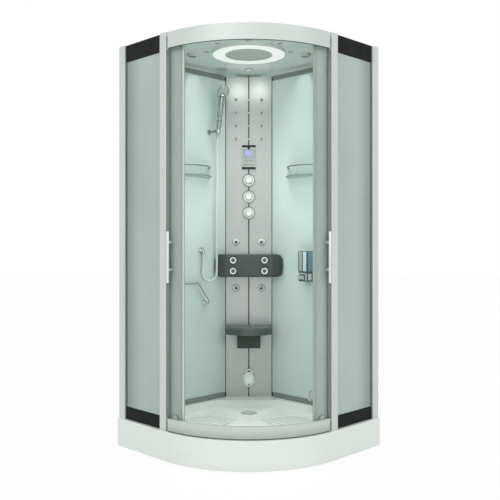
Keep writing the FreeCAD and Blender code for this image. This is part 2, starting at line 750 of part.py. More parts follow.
def tray_frame():
    under = (f"{TRAY_UNDER} - frame_tube", TRAY_UNDER)
    near = ("frame_near - frame_tube/2", "frame_near + frame_tube/2")
    far = ("frame_far - frame_tube/2", "frame_far + frame_tube/2")
    long_run = ("2*frame_tube", "frame_end_near")
    short_run = ("2*frame_tube", "frame_end_far")
    tubes = [box(long_run, near, under), box(near, long_run, under),
             box(short_run, far, under), box(far, short_run, under)]
    node("tray_frame", fuse(*tubes), "left")

    feet = []
    corners = [("3*frame_tube", "frame_near"), ("frame_far", "frame_near"),
               ("frame_end_near - 3*frame_tube", "frame_near"), ("frame_far + frame_near", "frame_far")]
    for x, y in corners:
        for a, b in ((x, y), (y, x)):
            feet.append(fuse(rod("foot_radius", "foot_pad", a, b),
                             rod("foot_stud", f"{TRAY_UNDER} - frame_tube", a, b)))
    node("tray_feet", group(*feet), "left")


def drain():
    """Waste body under the tray with a pipe that ends free at the room corner, and its cover."""
    y = from_corner("drain_out")
    neck = rod("drain_hole - fit_gap", f"{BASIN_FLOOR} - waste_floor", "0", y, "waste_floor")
    cup = rod("waste_radius", f"{TRAY_UNDER} - waste_floor", "0", y, "waste_floor")
    pipe = rod("waste_pipe", "drain_out - waste_end", "0", y, "waste_axis", "+y")
    spigot = rod("spigot_radius", "spigot_length", "0", from_corner("waste_end + spigot_length"),
                 "waste_axis", "+y")
    inside = rod("stem_radius + 4*waste_wall", f"{BASIN_FLOOR} - waste_floor", "0", y,
                 "waste_floor + waste_wall")
    bore = rod("waste_pipe - waste_wall", "drain_out - waste_end + 1", "0", y, "waste_axis", "+y")
    node("drain_waste", cut(fuse(neck, cup, pipe, spigot), inside, bore))

    disc = rod("cover_radius", "cover_thick", "0", y, f"{BASIN_FLOOR} + fit_gap")
    stem = rod("stem_radius", "stem_length + cover_thick", "0", y,
               f"{BASIN_FLOOR} + fit_gap - stem_length")
    node("drain_cover", fuse(disc, stem))


# ---------------------------------------------------------------- upright frame
def upright(side, near, far, name, notch=None):
    """One hollow upright profile on the straight side, with its rounded edges."""
    across = along(side, f"{FRAME_FACE} - post_depth", FRAME_FACE)
    body = block(name, across, (near, far), ("tray_height", "cabin_height"), "post_round", "post_wall")
    if notch:
        clear = along(side, f"{FRAME_FACE} - 2*post_depth", notch)
        across_plan = rectangle(clear, (f"({near}) - 1", f"({far}) + 1"))
        level = {plane.Role: plane for plane in body.Origin.OriginFeatures}["XY_Plane"]
        low = "guide_axis + 2*roller_pin"
        pocket(body, draw(body, level, low, across_plan), f"{low} - tray_height")
        high = "cabin_height - rail_top_drop - rail_top_face"
        pocket(body, draw(body, level, "cabin_height", across_plan), f"cabin_height - ({high})")
    return body


def frame_posts():
    track_face = "(side_straight + track_outer + fit_gap)"
    node("outer_profiles", pair(lambda side: upright(side, "0", "post_face", f"Outer_{side}")))
    node("middle_profiles", pair(lambda side: upright(
        side, "mid_start", "mid_start + post_face", f"Middle_{side}", track_face)))


def side_panels():
    outer = f"({FRAME_FACE} - pane_inset)"
    span = ("post_face", "mid_start")
    node("side_panels", pair(lambda side: box(
        along(side, f"{outer} - pane_thick", outer), span, ("tray_height", "cabin_height"))))
    strips = (("tray_height", "tray_height + band_low"), ("cabin_height - band_high", "cabin_height"))
    node("side_bands", pair(lambda side: group(*[
        box(along(side, outer, f"{outer} + band_thick"), span, strip) for strip in strips])))


def back_walls():
    end = f"{FRAME_FACE} - post_depth"
    low_top = "tray_height + trim_low"
    high_low = "trim_top - trim_high"
    node("back_walls", pair(lambda side: box(
        along(side, "wall_start", end), ("wall_face - wall_thick", "wall_face"), (low_top, high_low))))
    levels = (("tray_height", low_top), (high_low, "trim_top"))
    depth = ("trim_back", "wall_face + trim_proud")
    node("wall_profiles", pair(lambda side: group(*[
        box(along(side, "trim_start", end), depth, level) for level in levels])))


def rails():
    visible = ("-rail_half_angle", "rail_half_angle")
    whole = ("-track_half_angle", "track_half_angle")
    low_top = "tray_height + rail_low"
    face = sector("rail_outer - rail_skin", "rail_outer", ("tray_height", low_top), visible)
    lip = sector("track_outer - track_skin", "rail_outer", (f"{low_top} - track_plate", low_top), visible)
    base = sector("track_inner", "rail_outer", ("tray_height", "tray_height + track_plate"), visible)
    floor = sector("track_inner", "track_outer", ("tray_height", "tray_height + track_plate"), whole)
    fence = sector("track_outer - track_skin", "track_outer",
                   ("tray_height", "tray_height + track_low_wall"), whole)
    fence_top = sector("track_outer - track_skin", "track_outer", ("tray_height", low_top), visible)
    node("bottom_rail", fuse(face, lip, base, floor, fence, fence_top), "arc")

    high = "(cabin_height - rail_top_drop)"
    face = sector("rail_outer - rail_skin", "rail_outer", (f"{high} - rail_top_face", high), visible)
    ledge_top = "(roller_axis - roller_radius - fit_gap)"
    ledge = sector("door_outer + 2*fit_gap", "track_outer", (f"{ledge_top} - track_plate", ledge_top), whole)
    top_plate = ("track_top - track_plate", "track_top")
    cover = sector("track_inner", "track_outer", top_plate, whole)
    wall = sector("track_outer - track_skin", "track_outer", (f"{ledge_top} - track_plate", "track_top"),
                  whole)
    web = sector("track_outer - track_skin", "rail_outer", top_plate, visible)
    lower_web = sector("track_outer - track_skin", "rail_outer",
                       (f"{ledge_top} - track_plate", ledge_top), visible)
    node("top_rail", fuse(face, ledge, cover, wall, web, lower_web), "arc")


# ---------------------------------------------------------------- doors
ROLLER_MID = "(door_outer + 2*fit_gap + (track_outer - track_skin - door_outer - 2*fit_gap)/2)"


def door_angles(side):
    """Leading and trailing angle of an open door, and the sign of its side."""
    sign = -1 if side == "left" else 1
    return sign, f"({sign}*door_open)", f"({sign}*(door_open + door_span))"


def roller_angles(side):
    sign = door_angles(side)[0]
    return (f"({sign}*(door_open + roller_inset))",
            f"({sign}*(door_open + door_span - roller_inset))")


def radial_rod(radius, reach, height, angle):
    """A rod that points out from the front's axis, between two distances from it."""
    return at_angle(rod(radius, f"({reach[1]}) - ({reach[0]})", "0", f"-({reach[0]})", height, "-y"), angle)


def door(side):
    sign, leading, trailing = door_angles(side)
    first, last = (trailing, leading) if sign < 0 else (leading, trailing)
    inner = "(door_outer - door_thick)"
    sheet_glass = sector(inner, "door_outer", ("door_bottom", "door_top"), (first, last))
    handle_at = f"({sign}*(door_open + handle_inset))"
    hole = (f"{inner} - 5", "door_outer + 5")
    holes = [radial_rod("roller_pin + 2", hole, "roller_axis", angle) for angle in roller_angles(side)]
    holes += [radial_rod("roller_pin + 2", hole, "guide_axis", angle) for angle in roller_angles(side)]
    holes += [radial_rod("handle_bolt + fit_gap", hole, z, handle_at) for z in ("bolt_low", "bolt_high")]
    node(f"{side}_door_glass", cut(sheet_glass, *holes), "arc")

    grip = at_angle(rod("handle_radius", "handle_high - handle_low", "0", "-handle_reach",
                        "handle_low"), handle_at)
    bolts = [radial_rod("handle_bolt", (f"{inner} - cap_thick", "handle_reach"), z, handle_at)
             for z in ("bolt_low", "bolt_high")]
    feet = [radial_rod("2*handle_bolt", ("door_outer + fit_gap", "handle_reach - handle_radius/2"), z,
                       handle_at) for z in ("bolt_low", "bolt_high")]
    heads = [radial_rod("2*handle_bolt", (f"{inner} - cap_thick", f"{inner} - fit_gap"), z, handle_at)
             for z in ("bolt_low", "bolt_high")]
    node(f"{side}_door_handle", fuse(grip, *bolts, *feet, *heads), "arc")

    solids = []
    for angle in roller_angles(side):
        caps = [radial_rod("cap_radius", (f"{inner} - cap_thick", f"{inner} - fit_gap"), z, angle)
                for z in ("roller_axis", "guide_axis")]
        pin_end = f"({ROLLER_MID} + roller_width/2)"
        pin_rod = radial_rod("roller_pin", (f"{inner} - cap_thick", pin_end), "roller_axis", angle)
        guide_pin = radial_rod("roller_pin", (f"{inner} - cap_thick", ROLLER_MID), "guide_axis", angle)
        shoe_y = (f"-({ROLLER_MID} + shoe_thick/2)", f"-({ROLLER_MID} - shoe_thick/2)")
        shoe = at_angle(box(("-shoe_width/2", "shoe_width/2"), shoe_y,
                            ("shoe_low", "guide_axis + roller_pin")), angle)
        solids += [fuse(caps[0], pin_rod), fuse(caps[1], guide_pin, shoe)]
    closing = (leading, f"({leading} - {sign}*seal_span)")
    solids.append(sector(f"{inner} - seal_proud", "door_outer", ("door_bottom", "door_top"),
                         closing if sign < 0 else closing[::-1]))
    node(f"{side}_door_fittings", group(*solids), "arc")

    for place_name, angle in zip(("front", "rear"), roller_angles(side)):
        width = (f"{ROLLER_MID} - roller_width/2", f"{ROLLER_MID} + roller_width/2")
        tyre = radial_rod("roller_radius", width, "roller_axis", angle)
        bore = radial_rod("roller_pin + pin_gap", (f"{width[0]} - 1", f"{width[1]} + 1"),
                          "roller_axis", angle)
        node(f"{side}_{place_name}_roller", cut(tyre, bore), "arc")


# ---------------------------------------------------------------- roof
def roof():
    """Ceiling with a lowered edge along the walls and a flange over the roller track."""
    body, planes = make_body("Roof")
    level = planes["XY_Plane"]
    flange_low = "(roof_field + roof_sheet)"
    inset = "(cabin_width - side_straight - track_inner + roof_gap)"
    corner = "(trim_back + fit_gap)"
    cross = f"(side_straight + sqrt(({ARC_R} - {inset})^2 - (side_straight - {corner})^2))"
    inner_plan = [(corner, corner), (cross, corner, f"({ARC_R} - {inset})"), (corner, cross)]
    pad(body, draw(body, level, "roof_low", inner_plan), f"{flange_low} - roof_low")
    radius = f"({ARC_R} - {inset} - roof_sheet)"
    ledge_cross = f"(side_straight + sqrt({radius}^2 - (side_straight - roof_ledge)^2))"
    field = [("roof_ledge", "roof_ledge"), (ledge_cross, "roof_ledge", radius), ("roof_ledge", ledge_cross)]
    pocket(body, draw(body, level, "roof_low", field), "roof_field - roof_low", upward=True)
    edge = "(cabin_width - side_straight - door_outer)"
    pad(body, draw(body, level, flange_low, quarter(edge, corner)), "roof_sheet")
    diagonal = {name: f"{out}/sqrt(2)" for name, out in (("ring", "ring_out"), ("feed", "feed_back"))}
    holes = [(spot_at, spot_at, "feed_radius + feed_bend/2") for spot_at in diagonal.values()]
    vent_far = "((vent_out + vent_side)/sqrt(2))"
    vent_near = "((vent_out - vent_side)/sqrt(2))"
    holes.append((vent_near, vent_far, "fan_radius"))
    pocket(body, draw(body, level, f"{flange_low} + roof_sheet", *holes),
           "cabin_height - roof_low")
    node("roof_panel", body, "left")


def ceiling():
    y = from_corner("ring_out")
    node("rain_shower_ring", tube("ring_outer", "ring_inner", ("roof_field - ring_drop", "roof_field"), "0", y))

    head = rod("head_radius", "head_thick", "0", y, "roof_field - head_thick")
    throat = rod("feed_radius + 1", "head_thick", "0", y, "roof_field - head_thick/2")
    node("rain_shower_head", cut(head, throat))

    lights = []
    for i in range(int(value("spot_count"))):
        turn = f"({i}*360/spot_count)"
        lights.append(rod("spot_radius", "spot_drop", f"spot_circle*sin({turn})",
                          f"{y} - spot_circle*cos({turn})", "roof_field - spot_drop"))
    lamp_y = (from_corner("lamp_out + lamp_size/2"), from_corner("lamp_out - lamp_size/2"))
    lights.append(box(("-lamp_size/2", "lamp_size/2"), lamp_y, ("roof_field - spot_drop", "roof_field")))
    node("ceiling_lights", group(*lights))

    vent_y = from_corner("vent_out")
    low = "(roof_field - vent_drop)"
    shell = tube("vent_radius", "vent_radius - vent_wall", (low, "roof_field"), "vent_side", vent_y)
    arms = [box((f"vent_side - vent_radius + vent_wall/2", "vent_side + vent_radius - vent_wall/2"),
                (f"{vent_y} - vent_wall/2", f"{vent_y} + vent_wall/2"), (low, f"{low} + vent_wall")),
            box(("vent_side - vent_wall/2", "vent_side + vent_wall/2"),
                (f"{vent_y} - vent_radius + vent_wall/2", f"{vent_y} + vent_radius - vent_wall/2"),
                (low, f"{low} + vent_wall"))]
    spindle = rod("vent_wall", "vent_drop - vent_wall", "vent_side", vent_y, low)
    speaker = rod("vent_radius", "vent_drop/2", "-vent_side", vent_y, "roof_field - vent_drop/2")
    node("ceiling_vents", group(fuse(shell, *arms, spindle), speaker))

    blade_low = f"({low} + 2*vent_wall)"
    hub = rod("2*vent_wall", "vent_wall*2", "vent_side", vent_y, blade_low)
    blades = []
    for i in range(int(value("fan_blades"))):
        blade = box(("vent_wall", "fan_radius"), ("-vent_wall/4", "vent_wall/4"), ("0", "vent_wall*2"))
        turn = group(blade)
        bind(turn, Placement__Rotation__Angle=f"{i}*360/fan_blades")
        blades.append(place(group(turn), "vent_side", vent_y, blade_low))
    bore = rod("vent_wall + pin_gap", "vent_drop", "vent_side", vent_y, low)
    node("fan_impeller", cut(fuse(hub, *blades), bore))


# ---------------------------------------------------------------- column
COLUMN_Y = from_corner("column_out")
SHEET_BACK = from_corner("column_out - column_sheet")
KNOBS = (("diverter_knob", "knob_top"), ("flow_knob", "(knob_top - knob_pitch)"),
         ("temperature_knob", "(knob_top - 2*knob_pitch)"))


def mirrored(side, near, far):
    """An x range in the row frame, from distances to the column's middle."""
    return (f"-({far})", f"-({near})") if side == "left" else (near, far)


def column():
    tall = ("tray_height", "column_top")
    pierced = [rod("cartridge_radius + fit_gap", "2*column_return", "0",
                   from_corner("column_out + column_return"), z, "+y") for name, z in KNOBS]
    pierced.append(rod("steam_pipe + fit_gap", "2*column_return", "0",
                       from_corner("column_out + column_return"), "steam_axis", "+y"))
    panels = []
    for side in SIDES:
        face = box(mirrored(side, "seam_half", "column_half"), (COLUMN_Y, SHEET_BACK), tall)
        fold = box(mirrored(side, "seam_half", "seam_half + column_sheet"),
                   (COLUMN_Y, from_corner("column_out - column_return")), tall)
        panels.append(cut(fuse(face, fold), *pierced))
    node("column_panels", group(*panels))
    seam = box(("-seam_half", "seam_half"), (from_corner("column_out - column_sheet"),
                                            from_corner("column_out - column_return")), tall)
    gaskets = [box(mirrored(side, "column_half", "column_half + column_sheet"),
                   (COLUMN_Y, SHEET_BACK), tall) for side in SIDES]
    node("column_seals", group(cut(seam, *pierced), *gaskets))


def jets():
    small = []
    for i in range(int(value("small_jet_rows"))):
        for sign in ("-", ""):
            small.append(cone("small_jet_radius", "small_jet_radius*3/4", "small_jet_proud", f"{sign}jet_side",
                              COLUMN_Y, f"small_jet_low + {i}*small_jet_pitch", "-y"))
    node("small_body_jets", group(*small))

    rings = []
    ball_y = from_corner("column_out + swivel_radius + fit_gap")
    for height in ("swivel_upper", "swivel_lower"):
        for sign in ("-", ""):
            x = f"{sign}jet_side"
            ring = rod("swivel_ring", "swivel_ring_proud", x, COLUMN_Y, height, "-y")
            seat_bore = ball("swivel_radius + fit_gap", x, ball_y, height)
            rings.append(cut(ring, seat_bore))
    roses = []
    for name, z in KNOBS:
        rose = rod("rose_radius", "rose_thick", "0", COLUMN_Y, z, "-y")
        bore = rod("spindle_radius + pin_gap", "rose_thick", "0",
                   from_corner("column_out + rose_thick - spindle_length - fit_gap"), z, "-y")
        roses.append(cut(rose, bore))
    node("column_roses", group(*rings, *roses))

    for level, height in (("upper", "swivel_upper"), ("lower", "swivel_lower")):
        for side, sign in (("left", "-"), ("right", "")):
            x = f"{sign}jet_side"
            tip = rod("nozzle_radius", "nozzle_proud", x, ball_y, height, "-y")
            node(f"{level}_{side}_jet", fuse(ball("swivel_radius", x, ball_y, height), tip))


def controls():
    front = from_corner("column_out + panel_proud")
    body = block("Panel", ("-panel_half", "panel_half"), (front, COLUMN_Y), ("panel_low", "panel_high"),
                 "panel_round")
    level = {plane.Role: plane for plane in body.Origin.OriginFeatures}["XY_Plane"]
    screen = rectangle(("-display_half - fit_gap", "display_half + fit_gap"),
                       (f"{front} - 1", f"{front} + display_thick"))
    pocket(body, draw(body, level, "display_high + fit_gap", screen),
           "display_high - display_low + 2*fit_gap")
    names = ("power_button", "steam_button", "light_button")
    well_depth = "(button_depth + 2*button_proud)"
    for i, name in enumerate(names):
        middle = f"{i - 1}*button_pitch"
        half = "button_width/2"
        well = rectangle((f"{middle} - {half} - fit_gap", f"{middle} + {half} + fit_gap"),
                         (f"{front} - 1", f"{front} + {well_depth}"))
        pocket(body, draw(body, level, "button_axis + button_height/2 + fit_gap", well),
               "button_height + 2*fit_gap")
        key = box((f"{middle} - {half}", f"{middle} + {half}"),
                  (f"{front} - button_proud", f"{front} - button_proud + button_depth"),
                  ("button_axis - button_height/2", "button_axis + button_height/2"))
        node(name, key)
    node("control_panel", body)
    glass = box(("-display_half", "display_half"), (f"{front}", f"{front} + display_thick"),
                ("display_low", "display_high"))
    node("control_display", glass)

    for name, z in KNOBS:
        start = from_corner("column_out + rose_thick + fit_gap")
        grip = cone("knob_radius", "knob_radius*0.9", "knob_length", "0", start, z, "-y")
        spindle = rod("spindle_radius", "spindle_length + fit_gap", "0",
                      from_corner("column_out + rose_thick - spindle_length"), z, "-y")
        node(name, fuse(grip, spindle))


def plumbing():
    """Valve block with its cartridges and inlets behind the column, and the rain shower's feed."""
    block_y = (from_corner("valve_front"), from_corner("valve_back"))
    valve = box(("-valve_half", "valve_half"), block_y, ("valve_low", "valve_high"))
    cartridges = [rod("cartridge_radius", "column_out - valve_front", "0", block_y[0], z, "-y")
                  for name, z in KNOBS]
    inlets = [rod("inlet_radius", "inlet_length", f"{sign}inlet_side", block_y[1], "inlet_axis", "+y")
              for sign in ("-", "")]
    riser_y = from_corner("feed_back")
    over = "(roof_field + 2*roof_sheet + feed_radius + fit_gap)"
    route = [point("0", riser_y, "valve_high"), point("0", riser_y, over),
             point("0", from_corner("ring_out"), over),
             point("0", from_corner("ring_out"), "roof_field - head_thick/2")]
    pipe = bent_pipe(route, value("feed_radius"), value("feed_bend"))
    node("valve_block", fuse(valve, *cartridges, *inlets, solid_feature("Feed", pipe)))


def steam():
    tank_y = from_corner("tank_out")
    tank = rod("tank_radius", "tank_high - tank_low", "0", tank_y, "tank_low")
    stand = box(("-tank_stand", "tank_stand"), (f"{tank_y} - tank_stand", f"{tank_y} + tank_stand"),
                ("tray_height", "tank_low"))
    pipe = rod("steam_pipe", "column_out - tank_out", "0", tank_y, "steam_axis", "-y")
    node("steam_generator", fuse(tank, stand, pipe))

    shell = rod("outlet_radius", "outlet_proud", "0", COLUMN_Y, "steam_axis", "-y")
    collar_y = from_corner("column_out + outlet_proud - collar_radius/2")
    cup = rod("collar_radius", "collar_top - steam_axis", "0", collar_y, "steam_axis")
    bore = rod("collar_bore", "collar_depth + 1", "0", collar_y, "collar_top - collar_depth")
    node("steam_outlet", cut(fuse(shell, cup), bore))


def backrest():
    body, planes = make_body("Backrest")
    level = planes["XY_Plane"]
    wall_line = "column_out + fit_gap"
    hips = "(column_half - 2*column_sheet)"
    tip_back = f"(column_out + rest_half - {hips} + 2*fit_gap)"
    sag = "(rest_front - rest_tip)"
    reach = "(rest_half - rest_flat)"
    wing = f"(({reach}^2 + {sag}^2)/(2*{sag}))"
    plan = [("-rest_half", from_corner("rest_tip"), wing), ("-rest_flat", from_corner("rest_front")),
            ("rest_flat", from_corner("rest_front"), wing), ("rest_half", from_corner("rest_tip")),
            ("rest_half", from_corner(tip_back)), (hips, from_corner(wall_line)),
            (f"-{hips}", from_corner(wall_line)), ("-rest_half", from_corner(tip_back))]
    pad(body, draw(body, level, "rest_low", plan), "rest_high - rest_low")

    def on_front(edge):
        level_edge = is_level_at("rest_low")(edge) or is_level_at("rest_high")(edge)
        return level_edge and edge.BoundBox.YMax < value(from_corner("rest_tip")) + 0.01

    fillet(body, "rest_round", on_front)
    hollow = rectangle(("-rest_flat", "rest_flat"), (from_corner("rest_front - rest_wall"), COLUMN_Y))
    pocket(body, draw(body, level, "rest_high - rest_wall", hollow), "rest_high - rest_low - 2*rest_wall")
    front = from_corner("rest_front")
    shell_front = []
    rings = []
    for height in ("rest_jet_low", "rest_jet_high"):
        for sign in ("-", ""):
            x = f"{sign}rest_jet_side"
            shell_front.append(rod("rest_jet_body + fit_gap", "4*rest_wall", x, f"{front} - 2*rest_wall",
                                   height, "+y"))
            ring = rod("rest_jet_ring", "rest_jet_proud", x, front, height, "-y")
            stub = rod("rest_jet_body", "2*rest_wall", x, front, height, "+y")
            rings.append(fuse(ring, stub))
    node("backrest", cut(body, *shell_front))
    node("backrest_jets", group(*rings))


def seat():
    """Tip-up seat on a hinge pin that the bracket's two ears hold."""
    body, planes = make_body("Seat")
    level = planes["XY_Plane"]
    front_depth = "(seat_front - seat_side)"
    radius = f"((seat_half^2 + {front_depth}^2)/(2*{front_depth}))"
    plan = [("-seat_half", from_corner("seat_side"), radius), ("seat_half", from_corner("seat_side")),
            ("seat_half", from_corner("seat_back")), ("-seat_half", from_corner("seat_back"))]
    pad(body, draw(body, level, "seat_top - seat_thick", plan), "seat_thick")
    fillet(body, "seat_round", is_level_at("seat_top"))
    recess = rectangle(("-recess_half", "recess_half"),
                       (from_corner("recess_front"), from_corner("seat_back - 1")))
    pocket(body, draw(body, level, "seat_top - seat_thick", recess), "seat_thick - recess_roof", upward=True)
    hinge_y = from_corner("hinge_out")
    lugs = []
    for sign in ("-", ""):
        inner = "(ear_side - fit_gap - lug_thick)"
        x = f"-({inner} + lug_thick)" if sign else inner
        lug = fuse(rod("hinge_boss", "lug_thick", x, hinge_y, "hinge_axis", "+x"),
                   box((x, f"({x}) + lug_thick"), (f"{hinge_y} - hinge_boss", f"{hinge_y} + hinge_boss"),
                       ("hinge_axis", "seat_top - recess_roof")))
        lugs.append(lug)
    bore = rod("hinge_pin + pin_gap", "2*recess_half", "-recess_half", hinge_y, "hinge_axis", "+x")
    node("seat", cut(fuse(body, *lugs), bore))

    rear = box(("-bracket_half", "bracket_half"), (from_corner("bracket_front"), COLUMN_Y),
               ("bracket_low", "bracket_step"))
    rest = box(("-bracket_half", "bracket_half"), (from_corner("bracket_front"), from_corner("bracket_rest")),
               ("bracket_step", "seat_top - seat_thick - fit_gap"))
    ears = []
    for sign in ("-", ""):
        x = "-(ear_side + lug_thick)" if sign else "ear_side"
        ears.append(rod("hinge_boss", "lug_thick", x, hinge_y, "hinge_axis", "+x"))
        ears.append(box((x, f"({x}) + lug_thick"), (f"{hinge_y} - hinge_boss", f"{hinge_y} + hinge_boss"),
                        ("bracket_step", "hinge_axis")))
    hinge = rod("hinge_pin", "2*(ear_side + lug_thick)", "-ear_side - lug_thick", hinge_y, "hinge_axis", "+x")
    node("seat_bracket", fuse(rear, rest, *ears, hinge))


# ---------------------------------------------------------------- handset and hose, left wall
def handset():
    """Holder on the wall, the handset with its clip, the hose and its elbow."""
    plate = rod("holder_rose", "holder_plate", "holder_along + holder_side", "wall_face", "holder_axis", "+y")
    arm = rod("holder_arm", "holder_out - wall_face", "holder_along + holder_side", "wall_face",
              "holder_axis", "+y")
    knuckle = ball("holder_arm", "holder_along + holder_side", "holder_out", "holder_axis")
    pivot_pin = rod("holder_pin", "holder_side - cradle_radius + holder_pin", "holder_along + holder_side",
                    "holder_out", "holder_axis", "-x")
    node("handset_holder", fuse(plate, arm, knuckle, pivot_pin), "left")

    grip = cone("grip_radius", "grip_radius*1.2", "grip_above + grip_below", "0", "0", "-grip_below")
    clip = rod("cradle_radius", "2*cradle_half", "0", "0", "-cradle_half")
    ear = box(("0", "cradle_radius + 2*fit_gap"), ("-cradle_half", "cradle_half"),
              ("-cradle_half", "cradle_half"))
    socket = rod("holder_pin + pin_gap", "cradle_radius", "cradle_radius - holder_pin - fit_gap", "0", "0", "+x")
    head = rod("spray_radius", "spray_thick", "0", "-spray_thick/3", "0", "+y")
    head_turn = group(head)
    head_turn.Placement = FreeCAD.Placement(FreeCAD.Vector(), turned((1, 0, 0), -1))
    bind(head_turn, Placement__Rotation__Angle="-spray_tilt", Placement__Base__z="grip_above + spray_radius*0.8")
    wand = cut(fuse(grip, clip, ear, head_turn), socket)
    leaning = group(wand)
    leaning.Placement = FreeCAD.Placement(FreeCAD.Vector(), turned((1, 0, 0), -1))
    bind(leaning, Placement__Rotation__Angle="-grip_lean")
    place_in_wall = place(group(leaning), "holder_along", "holder_out", "holder_axis")
    node("handset", place_in_wall, "left")

    foot = point("holder_along", "holder_out - grip_below*sin(grip_lean)",
                 "holder_axis - grip_below*cos(grip_lean)")
    lean = math.radians(value("grip_lean"))
    below = FreeCAD.Vector(0, -math.sin(lean), -math.cos(lean))
    top = foot + below * value("fit_gap")
    elbow_end = point("elbow_along", "elbow_out", "elbow_axis - 2*elbow_radius - fit_gap")
    hanging = [FreeCAD.Vector(*corner) for corner in HOSE_POINTS]
    rising = point("elbow_along", "elbow_out", "elbow_axis - 2*elbow_radius - hose_lead")
    route = [top, top + below * value("hose_lead"), *hanging, rising, elbow_end]
    wire, radii = bent_wire(route)
    hose = pipe_along(wire, value("hose_radius"))
    print("hose arcs, mm:", [round(r, 1) for r in radii])
    print("hose length, mm:", round(wire.Length, 1))
    expected = math.pi * value("hose_radius") ** 2 * wire.Length
    print("hose volume against section times length:", round(hose.Volume / expected, 4))
    node("shower_hose", solid_feature("Hose", hose), "left")

    rose = rod("elbow_rose", "holder_plate", "elbow_along", "wall_face", "elbow_axis", "+y")
    level_arm = rod("elbow_radius", "elbow_out - wall_face", "elbow_along", "wall_face", "elbow_axis", "+y")
    knee = ball("elbow_radius", "elbow_along", "elbow_out", "elbow_axis")
    drop = rod("elbow_radius", "2*elbow_radius", "elbow_along", "elbow_out", "elbow_axis", "-z")
    node("hose_elbow", fuse(rose, level_arm, knee, drop), "left")


# Corners of the hose's route in the left wall's frame: the foot of its straight hang, the U
# and the rise to the elbow.
HOSE_POINTS = [
    (338, 66, 895),
    (366, 60, 867),
    (406, 52, 867),
    (434, 47, 895),
    (434, 46, 940),
]


# ---------------------------------------------------------------- wall fittings
def shelves():
    axis_out = "(wall_face + shelf_depth - shelf_radius)"

    def front_part(side, solid):
        x = along(side, "shelf_mid - 2*shelf_radius", "shelf_mid + 2*shelf_radius")
        return common(solid, box(x, ("wall_face + fit_gap", "wall_face + 2*shelf_depth"),
                                 ("shelf_top - shelf_depth", "shelf_rail_axis + shelf_depth")))

    def plate(side):
        disc = rod("shelf_radius", "shelf_thick", spot(side, "shelf_mid"), axis_out, "shelf_top - shelf_thick")
        return front_part(side, disc)

    def rail(side):
        middle = spot(side, "shelf_mid")
        radius = "(shelf_radius - shelf_rail_inset)"
        loop = front_part(side, torus(radius, "shelf_wire", middle, axis_out, "shelf_rail_axis"))
        posts = []
        for turn in ("90", "40", "140"):
            posts.append(rod("shelf_post", "shelf_rail_axis - shelf_top + shelf_thick/2",
                             f"{middle} + {radius}*cos({turn})", f"{axis_out} + {radius}*sin({turn})",
                             "shelf_top - shelf_thick/2"))
        return fuse(loop, *posts)

    node("shelves", pair(lambda side: fuse(plate(side), rail(side))))


def wall_bars():
    """The bent grab bar on the left wall and the small foot bar low on the right wall."""
    face = "wall_face + fit_gap"
    route = [point("bar_far", face, "bar_high"), point("bar_far", "bar_out", "bar_high"),
             point("bar_knee", "bar_out", "bar_high"), point("bar_near", "bar_out", "bar_low"),
             point("bar_near", face, "bar_low")]
    bar = bent_pipe(route, value("bar_radius"), value("bar_bend"))
    roses = [Part.makeCylinder(value("bar_rose"), value("holder_plate"), point(x, face, z),
                               FreeCAD.Vector(0, 1, 0))
             for x, z in (("bar_far", "bar_high"), ("bar_near", "bar_low"))]
    grab_bar = solid_feature("GrabBar", bar.fuse(roses).removeSplitter())

    route = [point("-foot_bar_along", face, "foot_bar_high"),
             point("-foot_bar_along", "foot_bar_out", "foot_bar_high"),
             point("-foot_bar_along", "foot_bar_out", "foot_bar_low"),
             point("-foot_bar_along", face, "foot_bar_low")]
    rest = bent_pipe(route, value("foot_bar_radius"), value("foot_bar_bend"))
    bars = {"left": grab_bar, "right": solid_feature("FootBar", rest)}
    node("wall_bars", pair(lambda side: bars[side]))


def soap():
    x = along("right", "soap_along - soap_half", "soap_along + soap_half")
    depth = ("wall_face + fit_gap", "wall_face + soap_depth")
    body = block("Soap", x, depth, ("soap_low", "soap_high"), "soap_round")
    level = {plane.Role: plane for plane in body.Origin.OriginFeatures}["XY_Plane"]
    inner = "(wall_face + soap_depth + lever_proud - lever_depth)"
    across = along("right", "soap_along - lever_half - fit_gap", "soap_along + lever_half + fit_gap")
    slot = rectangle(across, (f"{inner} - lever_travel - fit_gap", "wall_face + soap_depth + 1"))
    pocket(body, draw(body, level, "lever_high + fit_gap", slot), "lever_high - lever_low + 2*fit_gap")
    node("soap_dispenser", body, "right")
    lever = box(along("right", "soap_along - lever_half", "soap_along + lever_half"),
                (inner, "wall_face + soap_depth + lever_proud"), ("lever_low", "lever_high"))
    node("soap_lever", lever, "right")


def build():
    shower_tray()
    tray_frame()
    drain()
    frame_posts()
    side_panels()
    back_walls()
    rails()
    for side in SIDES:
        door(side)
    roof()
    ceiling()
    column()
    jets()
    controls()
    plumbing()
    steam()
    backrest()
    seat()
    handset()
    shelves()
    wall_bars()
    soap()
    doc.recompute()


def export():
    """Check every object and write one file for each sub-part."""
    for obj in doc.Objects:
        if "Invalid" in obj.State or "Error" in obj.State:
            raise RuntimeError(f"{obj.Name} ({obj.Label}) did not compute: {obj.State}")
    os.makedirs("parts", exist_ok=True)
    for obj in NODES:
        shape = obj.Shape
        if shape.isNull() or not shape.isValid() or not shape.Solids:
            raise RuntimeError(f"{obj.Label} has no valid solid")
        shape.exportStep(f"parts/{obj.Label}.step")
    print(len(NODES), "nodes")


build()
export()
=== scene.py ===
import math

import bpy
import bmesh
from mathutils import Matrix, Vector


